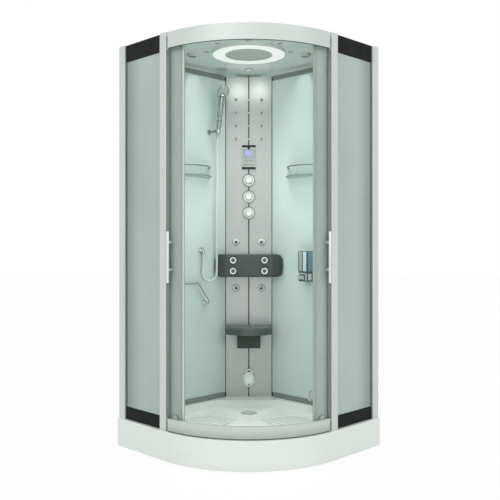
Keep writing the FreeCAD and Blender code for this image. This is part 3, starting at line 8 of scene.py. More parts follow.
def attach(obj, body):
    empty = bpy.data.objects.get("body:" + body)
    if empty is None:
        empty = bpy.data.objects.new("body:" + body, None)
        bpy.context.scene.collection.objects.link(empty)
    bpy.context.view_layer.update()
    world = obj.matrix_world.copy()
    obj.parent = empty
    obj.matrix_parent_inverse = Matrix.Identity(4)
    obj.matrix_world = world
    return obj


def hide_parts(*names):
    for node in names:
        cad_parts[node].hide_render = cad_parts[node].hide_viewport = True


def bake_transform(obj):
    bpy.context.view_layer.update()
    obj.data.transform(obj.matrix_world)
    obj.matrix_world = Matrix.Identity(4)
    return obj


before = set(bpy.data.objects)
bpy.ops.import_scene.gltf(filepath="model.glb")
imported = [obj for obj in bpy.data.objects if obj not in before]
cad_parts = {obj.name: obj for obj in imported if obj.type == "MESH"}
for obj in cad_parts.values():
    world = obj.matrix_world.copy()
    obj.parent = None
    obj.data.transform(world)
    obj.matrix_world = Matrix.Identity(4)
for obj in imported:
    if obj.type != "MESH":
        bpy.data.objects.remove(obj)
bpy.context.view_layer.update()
scene = bpy.context.scene

# ------------ places
ROOT2 = math.sqrt(2)
CORNER_Y = 0.58284  # where the two room walls meet
ARC_Y = 0.017157  # the axis of the curved front
SIDES = {"left": -1, "right": 1}
FRONT, UP, DOWN = Vector((0, -1, 0)), Vector((0, 0, 1)), Vector((0, 0, -1))
OUT = {"left": Vector((1, -1, 0)) / ROOT2, "right": Vector((-1, -1, 0)) / ROOT2}
ALONG = {"left": OUT["right"], "right": OUT["left"]}  # away from the room corner


def on_column(u, w, z):
    """A point by its distance from the room corner along the diagonal."""
    return Vector((u, CORNER_Y - w, z))


def on_wall(side, along, out, z):
    """A point by its distance along a wall from the room corner and out from that wall."""
    return Vector((SIDES[side] * (along - out) / ROOT2, CORNER_Y - (along + out) / ROOT2, z))


def on_front(turn, radius, z):
    """A point by its angle from the middle of the curved front, with right positive."""
    return Vector((radius * math.sin(turn), ARC_Y - radius * math.cos(turn), z))


def on_shelf(side, radius, turn, z):
    """A point by its radius and angle about the middle of a shelf's round edge."""
    return on_wall(side, SHELF_ALONG + radius * math.cos(turn), -0.02 + radius * math.sin(turn), z)


# ------------ levels and faces, in metres
COLUMN_MIDDLE, COLUMN_TALL_MM = 1.1305, 1959
FACE = 0.1783  # the column's front, as on_column measures it
REST_FACE = 0.2603  # the backrest's front
PANEL_FACE, KEY_LEVEL = 0.178, 1.584
JET_U = 0.079  # the jets' distance from the column's middle
ROW_LEVELS = (1.73, 1.8103, 1.8906, 1.9709)
SWIVEL_LEVELS = {"upper": 1.099, "lower": 0.818}
KNOB_LEVELS = {"diverter_knob": 1.476, "flow_knob": 1.376, "temperature_knob": 1.276}
KEY_PLACES = {"power_button": -0.024, "steam_button": 0, "light_button": 0.024}
WALL_REACH = 0.0368  # keeps the backrest's ends in front of the back walls
SHELF_ALONG = 0.51
WIRE_REACH = 0.148  # the shelves' guard wires
HANDSET_ALONG, HOLDER_ALONG, HANDSET_OUT, HANDSET_LEVEL = 0.338, 0.362, 0.078, 1.757
WALL_FACE = 0.0252  # the back walls' face, as on_wall measures it
SOAP_ALONG = 0.526
SIDE_GLASS_MIDDLE = 1.138
RAIN_REACH = 0.675  # the rain shower's middle, as on_column measures it
DOOR_EDGE = 36.2  # degrees to a door's leading edge
DOOR_SPAN = (0.17, 2.12)
HANDLE_LEVELS = (0.959, 1.096)


# ------------ materials
def linear(rgb):
    return [((c / 255 + 0.055) / 1.055) ** 2.4 if c > 10 else c / 255 / 12.92 for c in rgb] + [1.0]


def mix_to_output(tree, output, amount, first, second):
    """Sends a mix of two shaders to the output of a node tree."""
    mix = tree.nodes.new("ShaderNodeMixShader")
    for source, socket in zip((amount, first, second), mix.inputs):
        tree.links.new(source, socket)
    tree.links.new(mix.outputs[0], tree.nodes[output].inputs["Surface"])


class Finish:
    """A procedural material built up from a Principled shader."""

    def __init__(self, name, rgb, rough, metal=0.0, coat=(0.0, 0.03), specular=0.5):
        """Coat is a weight and a roughness."""
        self.mat = bpy.data.materials.new(name)
        self.mat.use_nodes = True
        self.tree = self.mat.node_tree
        self.shader = self.tree.nodes["Principled BSDF"]
        values = {"Metallic": metal, "Roughness": rough, "Specular IOR Level": specular,
                  "Coat Weight": coat[0], "Coat Roughness": coat[1]}
        for key, amount in values.items():
            self.shader.inputs[key].default_value = amount
        self.rough = rough
        colour = self.node("RGB")
        colour.outputs[0].default_value = linear(rgb)
        self.tint = colour.outputs[0]
        self.normal = None
        self.where = self.node("TexCoord").outputs["Object"]

    def node(self, kind, inputs=(), **values):
        made = self.tree.nodes.new("ShaderNode" + kind)
        for key, amount in values.items():
            setattr(made, key, amount)
        for key, amount in dict(inputs).items():
            made.inputs[key].default_value = amount
        return made

    def link(self, source, target):
        self.tree.links.new(source, target)

    def noise(self, scale, stretch=(1, 1, 1), detail=3.0, rough=0.55):
        mapping = self.node("Mapping", {"Scale": stretch})
        self.link(self.where, mapping.inputs["Vector"])
        made = self.node("TexNoise", {"Scale": scale, "Detail": detail, "Roughness": rough})
        self.link(mapping.outputs["Vector"], made.inputs["Vector"])
        return made.outputs["Fac"]

    def ramp(self, source, low, high, out_low, out_high):
        ends = {"From Min": low, "From Max": high, "To Min": out_low, "To Max": out_high}
        made = self.node("MapRange", ends, interpolation_type="SMOOTHSTEP")
        self.link(source, made.inputs["Value"])
        return made.outputs["Result"]

    def maths(self, kind, *amounts):
        made = self.node("Math", operation=kind)
        for socket, amount in zip(made.inputs, amounts):
            if isinstance(amount, (int, float)):
                socket.default_value = amount
            else:
                self.link(amount, socket)
        return made.outputs[0]

    def axis(self, letter):
        parts = self.node("SeparateXYZ")
        self.link(self.where, parts.inputs[0])
        return parts.outputs[letter]

    def blend(self, amount, rgb):
        """Mixes a colour in by an amount between 0 and 1."""
        made = self.node("Mix", {7: linear(rgb)}, data_type="RGBA", blend_type="MIX")
        self.link(self.tint, made.inputs[6])
        self.link(amount, made.inputs[0])
        self.tint = made.outputs[2]
        return self

    def mottle(self, scale, amount, rgb):
        """Uneven darker patches."""
        return self.blend(self.ramp(self.noise(scale), 0.35, 0.75, 0.0, amount), rgb)

    def gloss(self, scale, amount):
        """Roughness that varies by an amount either way."""
        spread = self.ramp(self.noise(scale), 0.3, 0.7, self.rough - amount, self.rough + amount)
        self.link(spread, self.shader.inputs["Roughness"])
        return self

    def bump(self, source, strength, distance):
        made = self.node("Bump", {"Strength": strength, "Distance": distance})
        self.link(source, made.inputs["Height"])
        if self.normal is not None:
            self.link(self.normal, made.inputs["Normal"])
        self.normal = made.outputs["Normal"]
        return self

    def done(self):
        self.link(self.tint, self.shader.inputs["Base Color"])
        if self.normal is not None:
            self.link(self.normal, self.shader.inputs["Normal"])
        return self.mat


def brushed(name, rgb, rough, lines):
    """Metal with fine lines, which are short across and long along the stretch."""
    f = Finish(name, rgb, rough, 1.0)
    f.mottle(2.5, 0.2, (95, 100, 98))
    grain = f.noise(40, lines, 4.0, 0.65)
    f.blend(f.ramp(grain, 0.35, 0.7, 0.0, 0.16), (70, 74, 72))
    f.gloss(5.0, 0.05)
    return f.bump(grain, 0.1, 0.0004).done()


def speckled(name, rgb, rough, metal, drawn=False, foot=None):
    """Satin anodised sparkle, with upright drawing lines if drawn, and painted shade that darkens
    it from foot[1] down.
    """
    f = Finish(name, rgb, rough, metal)
    if foot:
        # painted shade: darker towards the foot
        f.blend(f.ramp(f.axis("Z"), *foot, 0.4, 0.0), (118, 126, 121))
    f.mottle(1.6, 0.08, (120, 126, 122))
    grain = f.noise(900, (1, 1, 0.7), 2.0)
    f.blend(f.ramp(grain, 0.45, 0.65, 0.0, 0.22), (110, 114, 111))
    if drawn:
        lines = f.noise(260, (1, 1, 0.012), 2.0)
        f.blend(f.ramp(lines, 0.5, 0.7, 0.0, 0.1), (130, 135, 131))
    f.gloss(8.0, 0.05)
    return f.bump(grain, 0.1, 0.0003).done()


def moulded(name, rgb, rough, patch=0.1, dark=(20, 24, 22), coat=0.0, specular=0.5):
    """Moulded plastic with a fine texture."""
    f = Finish(name, rgb, rough, 0.0, (coat, 0.12), specular)
    f.mottle(6.0, patch, dark)
    f.gloss(14.0, 0.06)
    return f.bump(f.noise(1400, detail=2.0), 0.12, 0.0002).done()


def pane(name, tint, film, film_rgb, painted_reflection=0.0):
    """Thin glass with a film of its own colour, which a painted reflection turns darker towards the
    walls.
    """
    f = Finish(name, film_rgb, 0.03, specular=0.6)
    # painted reflection: the film darkens towards the walls by position
    f.blend(f.ramp(f.maths("ABSOLUTE", f.axis("X")), 0.56, 0.665, 0.0, painted_reflection), (84, 104, 98))
    f.mottle(2.2, 0.1, (120, 150, 142))
    f.bump(f.noise(7.0, detail=1.0), 0.03, 0.002)
    mat = f.done()
    clear = f.node("BsdfTransparent", {"Color": linear(tint)})
    sheen = f.node("Fresnel", {"IOR": 1.45})
    cloud = f.ramp(f.noise(3.0, (1, 1, 0.35)), 0.3, 0.7, film - 0.04, film + 0.04)
    amount = f.maths("ADD", cloud, f.maths("MULTIPLY", sheen.outputs[0], 0.7))
    mix_to_output(f.tree, "Material Output", amount, clear.outputs[0], f.shader.outputs[0])
    return mat


def acrylic():
    """Glossy tray, with painted shade that darkens the risers inside its rim."""
    f = Finish("acrylic", (229, 233, 229), 0.22, coat=(0.25, 0.08))
    # painted shade: faces that stand steep inside the rim are darkened
    steep = f.node("SeparateXYZ")
    f.link(f.node("NewGeometry").outputs["Normal"], steep.inputs[0])
    riser_shade = f.ramp(steep.outputs["Z"], 0.35, 0.97, 0.55, 0.0)
    squares = [f.maths("MULTIPLY", f.axis(letter), f.axis(letter)) for letter in "XY"]
    inside = f.ramp(f.maths("SQRT", f.maths("ADD", *squares)), 0.5, 0.55, 1.0, 0.0)
    f.blend(f.maths("MULTIPLY", riser_shade, inside), (170, 180, 177))
    f.mottle(1.4, 0.05, (190, 200, 195))
    f.mottle(28.0, 0.03, (170, 180, 175))
    f.gloss(9.0, 0.05)
    f.bump(f.noise(55, detail=2.0), 0.05, 0.0008)
    return f.bump(f.noise(800, detail=2.0), 0.05, 0.0002).done()


def wall_glass():
    """Back walls: glass with a painted rear, darker towards the floor by painted shade."""
    f = Finish("wall_glass", (197, 213, 208), 0.22, coat=(0.25, 0.08))
    # painted shade: darker towards the floor
    f.blend(f.ramp(f.axis("Z"), 0.2, 1.9, 0.45, 0.0), (180, 197, 192))
    f.mottle(1.8, 0.1, (176, 200, 194))
    f.mottle(40.0, 0.03, (170, 190, 185))
    f.gloss(3.0, 0.05)
    return f.bump(f.noise(4.0, detail=1.0), 0.03, 0.003).done()


def chrome(name, rgb=(226, 228, 227), rough=0.09):
    f = Finish(name, rgb, rough, 1.0)
    f.mottle(20.0, 0.06, (150, 155, 152))
    f.gloss(60.0, 0.03)
    return f.bump(f.noise(45, detail=1.0), 0.02, 0.0005).done()


def lamp_glass():
    f = Finish("lamp_glass", (238, 240, 236), 0.22, coat=(0.4, 0.03))
    f.mottle(60, 0.08, (200, 205, 200))
    return f.bump(f.noise(420, detail=1.0), 0.15, 0.0005).done()


def rain_head():
    f = Finish("rain_head", (194, 203, 197), 0.42, 0.1)
    f.mottle(9, 0.12, (120, 130, 126))
    f.mottle(120, 0.25, (128, 140, 132))
    return f.bump(f.noise(700), 0.1, 0.0003).done()


def pad():
    """Backrest moulding, with painted shade that darkens its wings beyond the column."""
    f = Finish("pad", (64, 74, 70), 0.4, coat=(0.1, 0.2))
    # painted shade on the wings, where they turn towards the walls
    reach = f.maths("ABSOLUTE", f.axis("X"))
    f.blend(f.ramp(reach, 0.132, 0.15, 0.0, 0.9), (40, 54, 50))
    f.mottle(7.0, 0.1, (52, 62, 58))
    f.gloss(14.0, 0.06)
    return f.bump(f.noise(1100, detail=2.0), 0.12, 0.0002).done()


def column_steel():
    """Fine-grained satin sheet."""
    f = Finish("column_steel", (192, 196, 193), 0.36, 0.7)
    f.mottle(2.5, 0.06, (150, 155, 152))
    grain = f.noise(260, (1, 1, 0.35), 3.0)
    f.blend(f.ramp(grain, 0.35, 0.7, 0.0, 0.14), (130, 135, 132))
    f.gloss(5.0, 0.03)
    return f.bump(grain, 0.04, 0.0003).done()


def hose_metal():
    f = Finish("hose_metal", (206, 214, 210), 0.45, 0.15)
    f.mottle(40.0, 0.1, (170, 180, 176))
    f.gloss(60.0, 0.03)
    return f.bump(f.noise(300, detail=2.0), 0.05, 0.0003).done()


def display_glass(name, rgb, edge):
    """Coated glass with a cloudy tint below it."""
    f = Finish(name, rgb, 0.12, coat=(0.8, 0.03))
    f.mottle(70.0, 0.25, edge)
    f.mottle(14.0, 0.15, edge)
    return f.bump(f.noise(60, detail=1.0), 0.02, 0.0003).done()


MATERIALS = {
    "acrylic": acrylic(),
    "satin": speckled("satin_aluminium", (214, 219, 216), 0.42, 0.35, drawn=True),
    "top_rail": speckled("top_rail_aluminium", (211, 217, 213), 0.42, 0.35),
    # the bottom rail gets painted shade towards the tray
    "rail": speckled("rail_aluminium", (206, 214, 208), 0.42, 0.35, foot=(0.152, 0.205)),
    # the side glass darkens towards the walls by painted reflection
    "side_glass": pane("side_glass", (236, 244, 241), 0.62, (204, 219, 214), painted_reflection=0.5),
    "door_glass": pane("door_glass", (238, 245, 242), 0.44, (208, 220, 215)),
    "wall_glass": wall_glass(),
    "cover": moulded("cover_black", (22, 26, 24), 0.7, 0.06, specular=0.2),
    "trim": speckled("trim_grey", (126, 137, 132), 0.45, 0.2),
    "column": column_steel(),
    "seal": moulded("seal_dark", (46, 60, 54), 0.65, specular=0.25),
    "clear_seal": moulded("seal_clear", (172, 184, 177), 0.35, coat=0.3),
    "chrome": chrome("chrome"),
    "white": moulded("plastic_white", (242, 244, 241), 0.25, 0.03, (205, 210, 205), 0.4),
    "grey": moulded("plastic_grey", (158, 165, 161), 0.35, 0.08),
    "dark": moulded("plastic_dark", (76, 86, 82), 0.42, 0.15),
    "bracket": moulded("bracket_dark", (60, 70, 65), 0.5, 0.15, specular=0.3),
    "roof": moulded("roof_grey", (172, 185, 180), 0.6, 0.05, (150, 165, 160), specular=0.3),
    "ring_white": moulded("ring_white", (246, 248, 246), 0.5, 0.02, (225, 230, 226), specular=0.4),
    "lamp": lamp_glass(),
    "steel": brushed("zinc_steel", (168, 172, 170), 0.42, (1, 1, 8)),
    "brass": brushed("brass", (196, 164, 96), 0.35, (8, 1, 1)),
    "rain": rain_head(),
    "ball": moulded("jet_ball", (222, 226, 223), 0.25, 0.05, (170, 178, 174), 0.4),
    "dish": moulded("knob_dish", (212, 217, 213), 0.3, 0.04, (176, 184, 180), 0.3),
    "knob": moulded("knob_white", (216, 220, 217), 0.25, 0.03, (200, 206, 202), 0.3),
    "handset": chrome("handset_metal", (190, 197, 193), 0.14),
    "holder": chrome("holder_metal", (150, 160, 156), 0.2),
    "soap_pale": display_glass("soap_pale", (186, 206, 208), (150, 184, 192)),
    "vent": moulded("vent_grey", (196, 205, 201), 0.5, 0.05),
    "pad": pad(),
    "hose_metal": hose_metal(),
    "key_grey": moulded("key_grey", (186, 192, 189), 0.35, 0.06),
    "screen": display_glass("display_violet", (166, 164, 214), (138, 140, 196)),
    "soap_blue": display_glass("soap_blue", (112, 156, 172), (84, 132, 150)),
    "soap_grey": display_glass("soap_grey", (150, 158, 146), (126, 138, 128)),
    "soap_shell": display_glass("soap_shell", (56, 84, 92), (30, 44, 54)),
    "black_rubber": moulded("black_rubber", (32, 36, 34), 0.5, 0.1),
    "pit": moulded("dark_pit", (18, 20, 20), 0.7, 0.0),
    "pale": moulded("pale_plastic", (238, 241, 238), 0.25, 0.03, (215, 220, 216), 0.3),
    "ring_grey": speckled("rim_grey", (140, 152, 146), 0.38, 0.2),
    "flank": speckled("flank_grey", (146, 153, 150), 0.45, 0.2, drawn=True),
    "rim_dark": speckled("rim_dark", (104, 116, 111), 0.4, 0.2),
    "gasket": moulded("gasket_dark", (84, 96, 91), 0.6, specular=0.25),
    "lip": display_glass("lip_glass", (112, 132, 127), (84, 102, 97)),
    "shelf": moulded("shelf_plate", (124, 143, 137), 0.35, 0.1, (96, 114, 108), 0.15),
    # painted light: grey for the roof's painted reflection lines and the right door's shaded seal
    # lip
    "shade_and_reflection_grey": moulded("shade_and_reflection_grey", (146, 158, 153), 0.5, 0.1),
    "rib": moulded("rib_grey", (156, 170, 168), 0.35, 0.05, (150, 162, 158), 0.2),
    "drain": speckled("drain_metal", (206, 211, 207), 0.4, 0.3),
}

BY_NODE = {
    "acrylic": "shower_tray",
    "satin": "outer_profiles middle_profiles",
    "top_rail": "top_rail",
    "rail": "bottom_rail",
    "side_glass": "side_panels",
    "door_glass": "left_door_glass right_door_glass",
    "wall_glass": "back_walls",
    "cover": "side_bands",
    "trim": "wall_profiles",
    "column": "column_panels",
    "seal": "column_seals",
    "clear_seal": "left_door_fittings right_door_fittings",
    "ball": "upper_left_jet upper_right_jet lower_left_jet lower_right_jet",
    "flank": "small_body_jets",
    "chrome": "left_door_handle right_door_handle drain_cover handset_holder handset hose_elbow "
              "wall_bars soap_lever shower_hose column_roses",
    "ring_white": "rain_shower_ring",
    "bracket": "seat_bracket",
    "white": "steam_outlet diverter_knob flow_knob temperature_knob left_front_roller "
             "left_rear_roller right_front_roller right_rear_roller fan_impeller backrest_jets",
    "grey": "control_panel ceiling_vents power_button steam_button light_button tray_feet "
            "drain_waste control_display",
    "dark": "backrest seat",
    "roof": "roof_panel shelves",
    "soap_shell": "soap_dispenser",
    "lamp": "ceiling_lights",
    "steel": "tray_frame steam_generator",
    "brass": "valve_block",
    "rain": "rain_shower_head",
}
for key, names in BY_NODE.items():
    for name in names.split():
        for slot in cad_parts[name].material_slots:
            slot.material = MATERIALS[key]


# ------------ stage, light and camera
def seen_directly(tree):
    """1 for what the camera sees, also in a reflection or through glass."""
    rays = tree.nodes.new("ShaderNodeLightPath")
    total = rays.outputs["Is Camera Ray"]
    for key in ("Is Glossy Ray", "Is Transmission Ray"):
        either = tree.nodes.new("ShaderNodeMath")
        either.operation = "MAXIMUM"
        tree.links.new(total, either.inputs[0])
        tree.links.new(rays.outputs[key], either.inputs[1])
        total = either.outputs[0]
    return total


def stage_floor(rgb, shown):
    """A floor that takes shadows and looks white by the share that shown gives."""
    f = Finish("stage_floor", rgb, 0.9)
    mat = f.done()
    glow = f.node("Emission", {"Color": (1, 1, 1, 1)})
    seen = f.maths("MULTIPLY", seen_directly(f.tree), shown)
    mix_to_output(f.tree, "Material Output", seen, f.shader.outputs[0], glow.outputs[0])
    return mat


bpy.ops.mesh.primitive_plane_add(size=40, location=(0, 0, -0.0005))
floor = bpy.context.object
floor.name = "floor"
floor.data.materials.append(stage_floor((240, 242, 240), 0.94))

world = bpy.data.worlds.new("studio")
scene.world = world
world.use_nodes = True
sky = world.node_tree
shade = sky.nodes["Background"]
shade.inputs["Color"].default_value = (0.98, 1.0, 0.99, 1)
shade.inputs["Strength"].default_value = 0.86
white = sky.nodes.new("ShaderNodeBackground")
white.inputs["Color"].default_value = (1, 1, 1, 1)
mix_to_output(sky, "World Output", seen_directly(sky), shade.outputs[0], white.outputs[0])


def area_lamp(name, place, target, size, power, mirrored=True, spread=180):
    """A soft lamp, which shows in reflections only if mirrored, and fans out by spread degrees."""
    lamp = bpy.data.lights.new(name, "AREA")
    lamp.shape = "RECTANGLE"
    lamp.size, lamp.size_y = size
    lamp.energy = power
    lamp.spread = math.radians(spread)
    holder = bpy.data.objects.new(name, lamp)
    scene.collection.objects.link(holder)
    holder.location = place
    holder.visible_camera = False
    holder.visible_glossy = mirrored
    aim = Vector(target) - Vector(place)
    holder.rotation_euler = aim.to_track_quat("-Z", "Y").to_euler()


area_lamp("key", (-2.2, -3.6, 3.4), (0, 0, 1.1), (2.4, 2.4), 18)
area_lamp("fill", (2.6, -3.2, 2.2), (0, 0, 1.0), (2.4, 2.4), 13)
area_lamp("front", (0, -3.4, 2.9), (0, 0.3, 1.3), (2.0, 1.0), 7)
area_lamp("doorway", (0, -0.34, 0.94), (0, 0.4, 0.86), (0.5, 1.3), 2.1, mirrored=False)
area_lamp("ceiling", (0, -0.05, 2.085), (0, -0.1, 0), (0.7, 0.6), 3.7, mirrored=False, spread=90)
area_lamp("bounce", (0, -0.12, 0.9), (0, -0.1, 2.1), (0.5, 0.4), 2.7, mirrored=False, spread=110)
for s in (-1, 1):
    area_lamp(f"sheen_{s + 1}", (s * 0.074, 0.15, 2.075), (s * 0.072, 0.405, 1.935), (0.09, 0.1),
              0.1)

FOCAL_PX, FRAME_PX, SENSOR_MM = 715, 500, 36
eye = bpy.data.cameras.new("camera")
eye.sensor_width = SENSOR_MM
eye.lens = FOCAL_PX / FRAME_PX * SENSOR_MM
eye.shift_x = 0.0024
eye.shift_y = -0.0146
camera = bpy.data.objects.new("camera", eye)
camera.location = (0, -3.985, 1.094)
camera.rotation_euler = (math.pi / 2, 0, 0)
scene.collection.objects.link(camera)
bpy.context.scene.camera = camera
bpy.context.scene.view_settings.view_transform = "Standard"


# ------------ building pieces
def show(name, mesh, material, slot, body="cabin", angle=35):
    """A finished piece: smooth but for its sharp edges, riding on a body."""
    piece = bpy.data.objects.new(name, mesh)
    scene.collection.objects.link(piece)
    mesh.materials.append(MATERIALS[material])
    for polygon in mesh.polygons:
        polygon.use_smooth = True
    mesh.set_sharp_from_angle(angle=math.radians(angle))
    if body is not None:
        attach(piece, body)
    return piece


def from_bmesh(name, bm, *rest):
    mesh = bpy.data.meshes.new(name)
    bm.to_mesh(mesh)
    bm.free()
    return show(name, mesh, *rest)


def facing(out):
    """Turns local +Z to the outward direction, with local Y kept as upright as it can be."""
    out = out.normalized()
    if abs(out.z) > 0.9999:
        return Matrix.Rotation(0 if out.z > 0 else math.pi, 4, "X")
    across = UP.cross(out).normalized()
    return Matrix((across, out.cross(across), out)).transposed().to_4x4()


def turn_profile(bm, profile, place, out, steps):
    """Adds a turned shape to bm: (radius, height) points about the outward axis, in mm."""
    seat = Matrix.Translation(place) @ facing(out)
    turns = [2 * math.pi * i / steps for i in range(steps)]
    rings = []
    for radius, height in profile:
        around = turns if radius > 1e-6 else [0.0]
        rings.append([bm.verts.new(seat @ Vector((radius / 1000 * math.cos(t),
                                                  radius / 1000 * math.sin(t),
                                                  height / 1000))) for t in around])
    for low, high in zip(rings, rings[1:]):
        for i in range(steps):
            j = (i + 1) % steps
            corners = [low[i % len(low)], low[j % len(low)],
                       high[j % len(high)], high[i % len(high)]]
            unique = [v for k, v in enumerate(corners) if v not in corners[:k]]
            if len(unique) > 2:
                bm.faces.new(unique)


def turned(name, profile, places, out, material, slot, body="cabin", steps=48, angle=35):
    """The same turned shape at each of the places, as one piece."""
    bm = bmesh.new()
    for place in places:
        turn_profile(bm, profile, place, out, steps)
    bmesh.ops.recalc_face_normals(bm, faces=bm.faces)
    return from_bmesh(name, bm, material, slot, body, angle)


def add_block(bm, centre, size, out, radius, segments, spin=0.0):
    """Adds a block with rounded edges: across, upright and outward, in mm, spun about out."""
    made = bmesh.ops.create_cube(bm, size=1)["verts"]
    edges = {e for v in made for e in v.link_edges}
    for v in made:
        v.co = Vector([c * s / 1000 for c, s in zip(v.co, size)])
    rounded = bmesh.ops.bevel(bm, geom=list(edges), offset=radius / 1000, segments=segments,
                              profile=0.5, affect="EDGES", clamp_overlap=True)
    corners = {v for f in rounded["faces"] for v in f.verts} | {v for v in made if v.is_valid}
    seat = Matrix.Translation(centre) @ facing(out) @ Matrix.Rotation(spin, 4, "Z")
    bmesh.ops.transform(bm, matrix=seat, verts=list(corners))


def blocks(name, items, out, material, slot, body="cabin", radius=1.0, segments=3):
    """Rounded blocks, given by their centre and size, as one piece."""
    bm = bmesh.new()
    for centre, size in items:
        add_block(bm, centre, size, out, radius, segments)
    return from_bmesh(name, bm, material, slot, body)


def curve_mesh(name, points, smooth, radius=0.0):
    """A line or, with a radius, a bar along points: smooth steps between them, or none."""
    path = bpy.data.curves.new(name, "CURVE")
    path.dimensions = "3D"
    run = path.splines.new("NURBS" if smooth else "POLY")
    run.points.add(len(points) - 1)
    for target, place in zip(run.points, points):
        target.co = (*place, 1)
    if smooth:
        run.order_u = 3
        run.use_endpoint_u = True
        path.resolution_u = smooth
    path.bevel_depth = radius
    path.bevel_resolution = 5
    path.use_fill_caps = True
    holder = bpy.data.objects.new(name + "_path", path)
    mesh = bpy.data.meshes.new_from_object(holder)
    bpy.data.objects.remove(holder)
    bpy.data.curves.remove(path)
    return mesh


def swept(name, points, radius, material, slot, body="cabin", smooth=0):
    """A bar along points, with its radius in mm."""
    mesh = curve_mesh(name, points, smooth, radius / 1000)
    mesh.materials.clear()
    return show(name, mesh, material, slot, body, angle=50)


def loft(name, rings, material, slot, body="cabin", angle=35):
    """A closed skin through rings that have as many points each."""
    bm = bmesh.new()
    rows = [[bm.verts.new(place) for place in ring] for ring in rings]
    for low, high in zip(rows, rows[1:]):
        for i in range(len(low)):
            j = (i + 1) % len(low)
            bm.faces.new((low[i], low[j], high[j], high[i]))
    for end in (rows[0], rows[-1]):
        bm.faces.new(end)
    bmesh.ops.recalc_face_normals(bm, faces=bm.faces)
    return from_bmesh(name, bm, material, slot, body, angle)


def rounded_ring(half_a, half_b, radius, steps=5):
    """Points (a, b) round a rectangle with round corners."""
    ring = []
    for corner in range(4):
        turn = corner * math.pi / 2
        sign_a = 1 if corner in (0, 3) else -1
        sign_b = 1 if corner in (0, 1) else -1
        for k in range(steps + 1):
            t = turn + math.pi / 2 * k / steps
            ring.append((sign_a * (half_a - radius) + radius * math.cos(t),
                         sign_b * (half_b - radius) + radius * math.sin(t)))
    return ring


def circle(middle, radius, count, first=0.0, across=Vector((1, 0, 0)), upright=Vector((0, 1, 0))):
    """Places spread evenly round a circle."""
    turns = [first + 2 * math.pi * k / count for k in range(count)]
    return [middle + (across * math.cos(t) + upright * math.sin(t)) * radius for t in turns]


# ------------ shower hose
HOSE_DIAMETER = 0.014
HOSE_POINTS = [on_wall("left", *p) for p in (
    (0.338, 0.0753, 1.7399), (0.338, 0.0686, 1.6974), (0.338, 0.0683, 1.654),
    (0.338, 0.0661, 0.935), (0.338, 0.066, 0.895), (0.366, 0.06, 0.867),
    (0.406, 0.052, 0.867), (0.434, 0.047, 0.895), (0.434, 0.046, 0.94),
    (0.428, 0.047, 0.987), (0.428, 0.047, 1.0297))]
HOSE_PITCH = 0.0042
HOSE_GROOVE = 0.0009
HOSE_RINGS = 4
HOSE_SIDES = 14


def smooth_line(points):
    """Points close together along the smooth line that a list of control points gives."""
    mesh = curve_mesh("line", points, smooth=40)
    found = [v.co.copy() for v in mesh.vertices]
    bpy.data.meshes.remove(mesh)
    return found


def evenly(points, step):
    """The same line with points a step apart."""
    lengths = [0.0]
    for a, b in zip(points, points[1:]):
        lengths.append(lengths[-1] + (b - a).length)
    count = round(lengths[-1] / step)
    spread, k = [], 0
    for i in range(count + 1):
        target = lengths[-1] * i / count
        while k < len(points) - 2 and lengths[k + 1] < target:
            k += 1
        share = (target - lengths[k]) / (lengths[k + 1] - lengths[k])
        spread.append(points[k].lerp(points[k + 1], share))
    return spread


def ribbed_tube(points, radius):
    """Rings of a hose of wound strip: its radius dips once in each turn of the strip."""
    rings = []
    across = UP.cross(points[1] - points[0])
    for i, place in enumerate(points):
        ahead = (points[min(i + 1, len(points) - 1)] - points[max(i - 1, 0)]).normalized()
        across = (across - ahead * across.dot(ahead)).normalized()
        reach = radius - (HOSE_GROOVE if i % HOSE_RINGS == 0 else 0)
        rings.append(circle(place, reach, HOSE_SIDES, 0.0, across, ahead.cross(across)))
    return rings


def shower_hose():
    """The hose in one piece."""
    line = evenly(smooth_line(HOSE_POINTS), HOSE_PITCH / HOSE_RINGS)
    rings = ribbed_tube(line, HOSE_DIAMETER / 2)
    hose = loft("hose_tube", rings, "hose_metal", "hose_chrome", None)
    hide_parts("shower_hose")
    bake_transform(hose)


# ------------ column trim
def column_trim():
    """Edge strips beside the column, its dark seam and the clips on the seam."""
    strips = [(on_column(s * 0.144, 0.1775, COLUMN_MIDDLE), (8.6, COLUMN_TALL_MM, 4.0))
              for s in (-1, 1)]
    blocks("column_edges", strips, FRONT, "seal", "plastic_dark", radius=0.6, segments=2)
    seam = [(on_column(0, FACE, COLUMN_MIDDLE), (7.0, COLUMN_TALL_MM, 1.2))]
    blocks("column_seam", seam, FRONT, "black_rubber", "plastic_dark", radius=0.4, segments=2)
    clips = [(on_column(0, FACE + 0.0002, z), (7.6, 6.0, 2.6)) for z in ROW_LEVELS]
    blocks("seam_clips", clips, FRONT, "pale", "plastic_white", radius=0.6, segments=2)


# ------------ jets and knobs
def body_jets():
    """Four rows of small jets, with the top row painted darker as painted shade."""
    bezel = [(9.0, 0), (9.0, 1.2), (8.2, 2.2), (6.5, 3.4), (5.0, 4.4), (4.4, 4.4), (3.6, 3.4)]
    opening = [(3.7, 3.3), (3.2, 4.1), (0, 4.1)]
    for row, z in enumerate(ROW_LEVELS):
        # painted shade: the top row takes dark materials, the rows below the column's own
        rim, hole = ("rim_dark", "pit") if z == ROW_LEVELS[-1] else ("column", "gasket")
        at = [on_column(s * JET_U, FACE, z) for s in (-1, 1)]
        turned(f"body_jet_bezels_{row}", bezel, at, FRONT, rim, "chrome", steps=32)
        turned(f"body_jet_openings_{row}", opening, at, FRONT, hole, "plastic_dark", steps=24)


